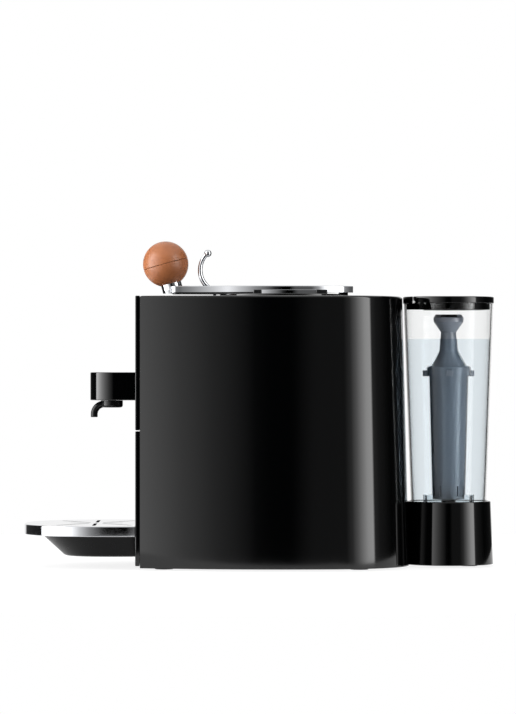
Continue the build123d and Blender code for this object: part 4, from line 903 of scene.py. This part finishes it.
def build_filter():
    """Filter cartridge with intake slits, and its waisted head with a slotted grip."""
    low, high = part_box("filter_cartridge")
    foot_r, slits = 15.5 * MM, 12
    profile = rounded([(0, low.z), (foot_r, low.z), (18.5 * MM, high.z), (0, high.z)],
                      {1: 0.8 * MM}, 5)
    body = lathe("filter_body", profile, FILTER, TANK_X, 120)
    cutters = []
    for k in range(slits):
        slit = block((-1.5 * MM, -0.8 * MM, -5 * MM), (1.5 * MM, 0.8 * MM, 5 * MM))
        reach = Vector((foot_r + 0.1 * MM, 0, 0))
        slit.data.transform(Matrix.Translation((TANK_X, 0, low.z + 8 * MM))
                            @ Matrix.Rotation(2 * pi * k / slits, 4, "Z")
                            @ Matrix.Translation(reach))
        cutters.append(slit)
    cut(body, cutters)
    stand_for(body, "filter", "filter_grey", "filter_cartridge")

    foot, shoulder, neck = 186 * MM, 196 * MM, 210 * MM
    wide, waist, hollow = 17 * MM, 9.2 * MM, 0.375 * MM
    profile = [(0, foot), (20.8 * MM, foot), (20.8 * MM, 194.5 * MM), (19.6 * MM, shoulder),
               (wide, shoulder)]
    # concave cone from the collar up to the stem
    for k in range(1, 17):
        share = k / 16
        r = wide + (waist - wide) * share - hollow * sin(pi * share)
        profile.append((r, shoulder + (neck - shoulder) * share))
    profile += [(8.6 * MM, 211.5 * MM), (7.9 * MM, 222.5 * MM), (7.5 * MM, 229 * MM)]
    grip = rounded([(7.5 * MM, 226 * MM), (7.5 * MM, 229 * MM), (14.4 * MM, 239 * MM),
                    (14.9 * MM, 242.8 * MM), (12.6 * MM, 246.4 * MM), (0, 246.4 * MM)],
                   {1: 1 * MM, 2: 2 * MM, 3: 1.6 * MM, 4: 1.2 * MM}, 6)
    head = lathe("filter_grip", profile + grip[1:], FILTER, TANK_X, 120, 35)
    seat = block((TANK_X - 8 * MM, -25 * MM, DIAL_LOW), (TANK_X + 8 * MM, 25 * MM, 250 * MM))
    cut(head, [seat], 35)
    lugs = []
    for k in range(4):
        corners = [(-2.2 * MM, -3.5 * MM), (2.2 * MM, -3.5 * MM), (2.2 * MM, 3.5 * MM),
                   (-2.2 * MM, 3.5 * MM)]
        outline = rounded(corners, {1: 0.6 * MM, 2: 0.6 * MM}, 4)
        lug = slab("lug", outline, foot, foot + 5.8 * MM, FILTER, top_round=0.3 * MM)
        lug.data.transform(Matrix.Translation((TANK_X, 0, 0)) @ Matrix.Rotation(pi / 2 * k, 4, "Z")
                           @ Matrix.Translation((21.8 * MM, 0, 0)))
        lugs.append(lug)
    cut(head, lugs, 35, "UNION")
    stand_for(head, "filter", "filter_grey", "filter_head")
    front, rear, half = TANK_X - 7.9 * MM, TANK_X + 7.9 * MM, 11 * MM
    outline = rounded([(front, -half), (rear, -half), (rear, half), (front, half)],
                      {i: 1.5 * MM for i in range(4)}, 5)
    dial = slab("filter_dial", outline, DIAL_LOW + 0.02 * MM, 246.3 * MM, MATT_BLACK,
                top_round=0.5 * MM)
    stand_for(dial, "filter", "filter_grey")


# ------------------------------------------------------------------ small parts
def build_buttons():
    """Round buttons with a soft rim and a slightly dished face."""
    for node, body in (("button_small_cup", "small_cup_button"), ("button_power", "power_button"),
                       ("button_large_cup", "large_cup_button")):
        low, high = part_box(node)
        middle = (low.y + high.y) / 2
        # radius and depth behind the front of the face, in millimetres
        profile = [(0, 0.25), (3, 0.2), (5.2, 0.04), (6.2, 0), (6.6, 0.08), (6.88, 0.3), (7, 0.6),
                   (7, 5.0), (8.2, 5.0), (8.2, 6.2), (7, 6.2), (7, 6.5), (2, 6.5), (2, 12.2),
                   (0, 12.2)]
        turn = Matrix(((0, 0, 1, low.x), (0, 1, 0, middle), (-1, 0, 0, BUTTON_Z), (0, 0, 0, 1)))
        cap = lathe(node + "_cap", [(r * MM, h * MM) for r, h in profile], BUTTON, turns=72,
                    place=turn)
        stand_for(cap, body, "button_face", node)


def build_feet():
    """Rubber feet with a ribbed underside edge."""
    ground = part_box("rubber_feet")[0].z
    # radius and height over the ground, in millimetres
    profile = [(0, 0.25), (6.2, 0.25), (6.4, 0.0), (8.3, 0.0), (8.8, 0.2), (9, 0.6), (9, 2.0),
               (0, 2.0)]
    feet = []
    for x, y in ((-92, -62), (-92, 62), (96, -68), (96, 68), (205, 0)):
        foot = lathe("foot", [(r * MM, h * MM) for r, h in profile], RUBBER, turns=56)
        foot.data.transform(Matrix.Translation((x * MM, y * MM, ground)))
        feet.append(foot)
    pads = join("feet_pads", feet)
    tidy(pads)
    stand_for(pads, "chassis", "black_rubber", "rubber_feet")


build_body()
build_deck()
build_spout()
build_nozzle()
build_tray()
build_bowl()
build_arm()
build_carrier()
build_ball()
build_horn()
build_tank()
build_base()
build_lid()
build_filter()
build_buttons()
build_feet()


# ------------------------------------------------------------------ stage, light and camera
def build_stage():
    """Pale floor in a white studio, with a tall curved light wall round it."""
    floor_r = 0.748
    rim = [(x, y, 0) for x, y in circle(0, floor_r, 96)]
    pale = bpy.data.materials.new("pale_floor")
    pale.use_nodes = True
    shader = pale.node_tree.nodes["Principled BSDF"]
    shader.inputs["Base Color"].default_value = (0.2, 0.2, 0.2, 1)
    shader.inputs["Roughness"].default_value = 0.9
    shader.inputs["Specular IOR Level"].default_value = 0.1
    shader.inputs["Emission Color"].default_value = (1, 1, 1, 1)
    shader.inputs["Emission Strength"].default_value = 0.85
    floor = piece("floor", rim, [tuple(range(96))], pale)

    world = bpy.data.worlds.new("studio")
    bpy.context.scene.world = world
    world.use_nodes = True
    world.node_tree.nodes["Background"].inputs["Color"].default_value = (1, 1, 1, 1)

    # seen only in reflections and through the tank: white behind the machine, dark in front
    # of it, and bright to both sides
    reach, low, high, brightest = 6.0, -4.0, 5.5, 9
    ring = circle(0, reach, 128)
    verts, faces = stack([[(x, y, z) for x, y in ring] for z in (low, high)], False, False)
    glow = bpy.data.materials.new("light_wall")
    glow.use_nodes = True
    nodes, links = glow.node_tree.nodes, glow.node_tree.links
    nodes.remove(nodes["Principled BSDF"])
    light = nodes.new("ShaderNodeEmission")
    links.new(light.outputs["Emission"], nodes["Material Output"].inputs["Surface"])
    place = nodes.new("ShaderNodeTexCoord")
    split = nodes.new("ShaderNodeSeparateXYZ")
    links.new(place.outputs["Object"], split.inputs["Vector"])
    # turn from the near side, from -1 to 1 as half turns
    back = nodes.new("ShaderNodeMath")
    back.operation = "MULTIPLY"
    back.inputs[1].default_value = -1
    links.new(split.outputs["Y"], back.inputs[0])
    turn = nodes.new("ShaderNodeMath")
    turn.operation = "ARCTAN2"
    links.new(split.outputs["X"], turn.inputs[0])
    links.new(back.outputs["Value"], turn.inputs[1])
    share = nodes.new("ShaderNodeMapRange")
    share.inputs["From Min"].default_value = -pi
    share.inputs["From Max"].default_value = pi
    links.new(turn.outputs["Value"], share.inputs["Value"])
    ramp = nodes.new("ShaderNodeValToRGB")
    stops = ramp.color_ramp.elements
    # angle round the machine from its near side, in degrees, and brightness there
    levels = [
        (-180, 0.95), (-158, 0.95), (-150, 0.04), (-94.6, 0.01), (-94, 9.0), (-80, 7.5),
        (-60, 4.0), (-45, 2.2), (-36, 1.45), (-28, 0.85), (-19, 0.4), (-12, 0.18), (-7, 0.03),
        (-3, 0.0), (3, 0.0), (9, 0.12), (29, 0.13), (38, 0.5), (46, 1.7), (53, 3.4), (61, 5.4),
        (70, 6.0), (70.6, 0.4), (80, 0.15), (95, 0.05), (104, 0.01), (150, 0.04), (158, 0.95),
        (180, 0.95),
    ]
    stops.remove(stops[1])
    for angle, value in levels:
        stop = stops[0] if angle == -180 else stops.new((angle + 180) / 360)
        stop.color = (*[value / brightest] * 3, 1)
    links.new(share.outputs["Result"], ramp.inputs["Fac"])
    links.new(ramp.outputs["Color"], light.inputs["Color"])
    light.inputs["Strength"].default_value = brightest
    wall = piece("light_wall", verts, faces, glow)
    wall.visible_camera = False
    wall.visible_shadow = False


def build_camera():
    """Long lens, level and square to the side, a little above the middle of its height."""
    scene = bpy.context.scene
    data = bpy.data.cameras.new("camera")
    data.lens = 191.6
    data.sensor_width = 36
    data.shift_y = 0.0182
    data.clip_end = 100
    camera = bpy.data.objects.new("camera", data)
    camera.location = (-1.5 * MM, -3.727, 192 * MM)
    camera.rotation_euler = (radians(90), 0, 0)
    scene.collection.objects.link(camera)
    scene.camera = camera
    scene.view_settings.view_transform = "Standard"


build_stage()
build_camera()
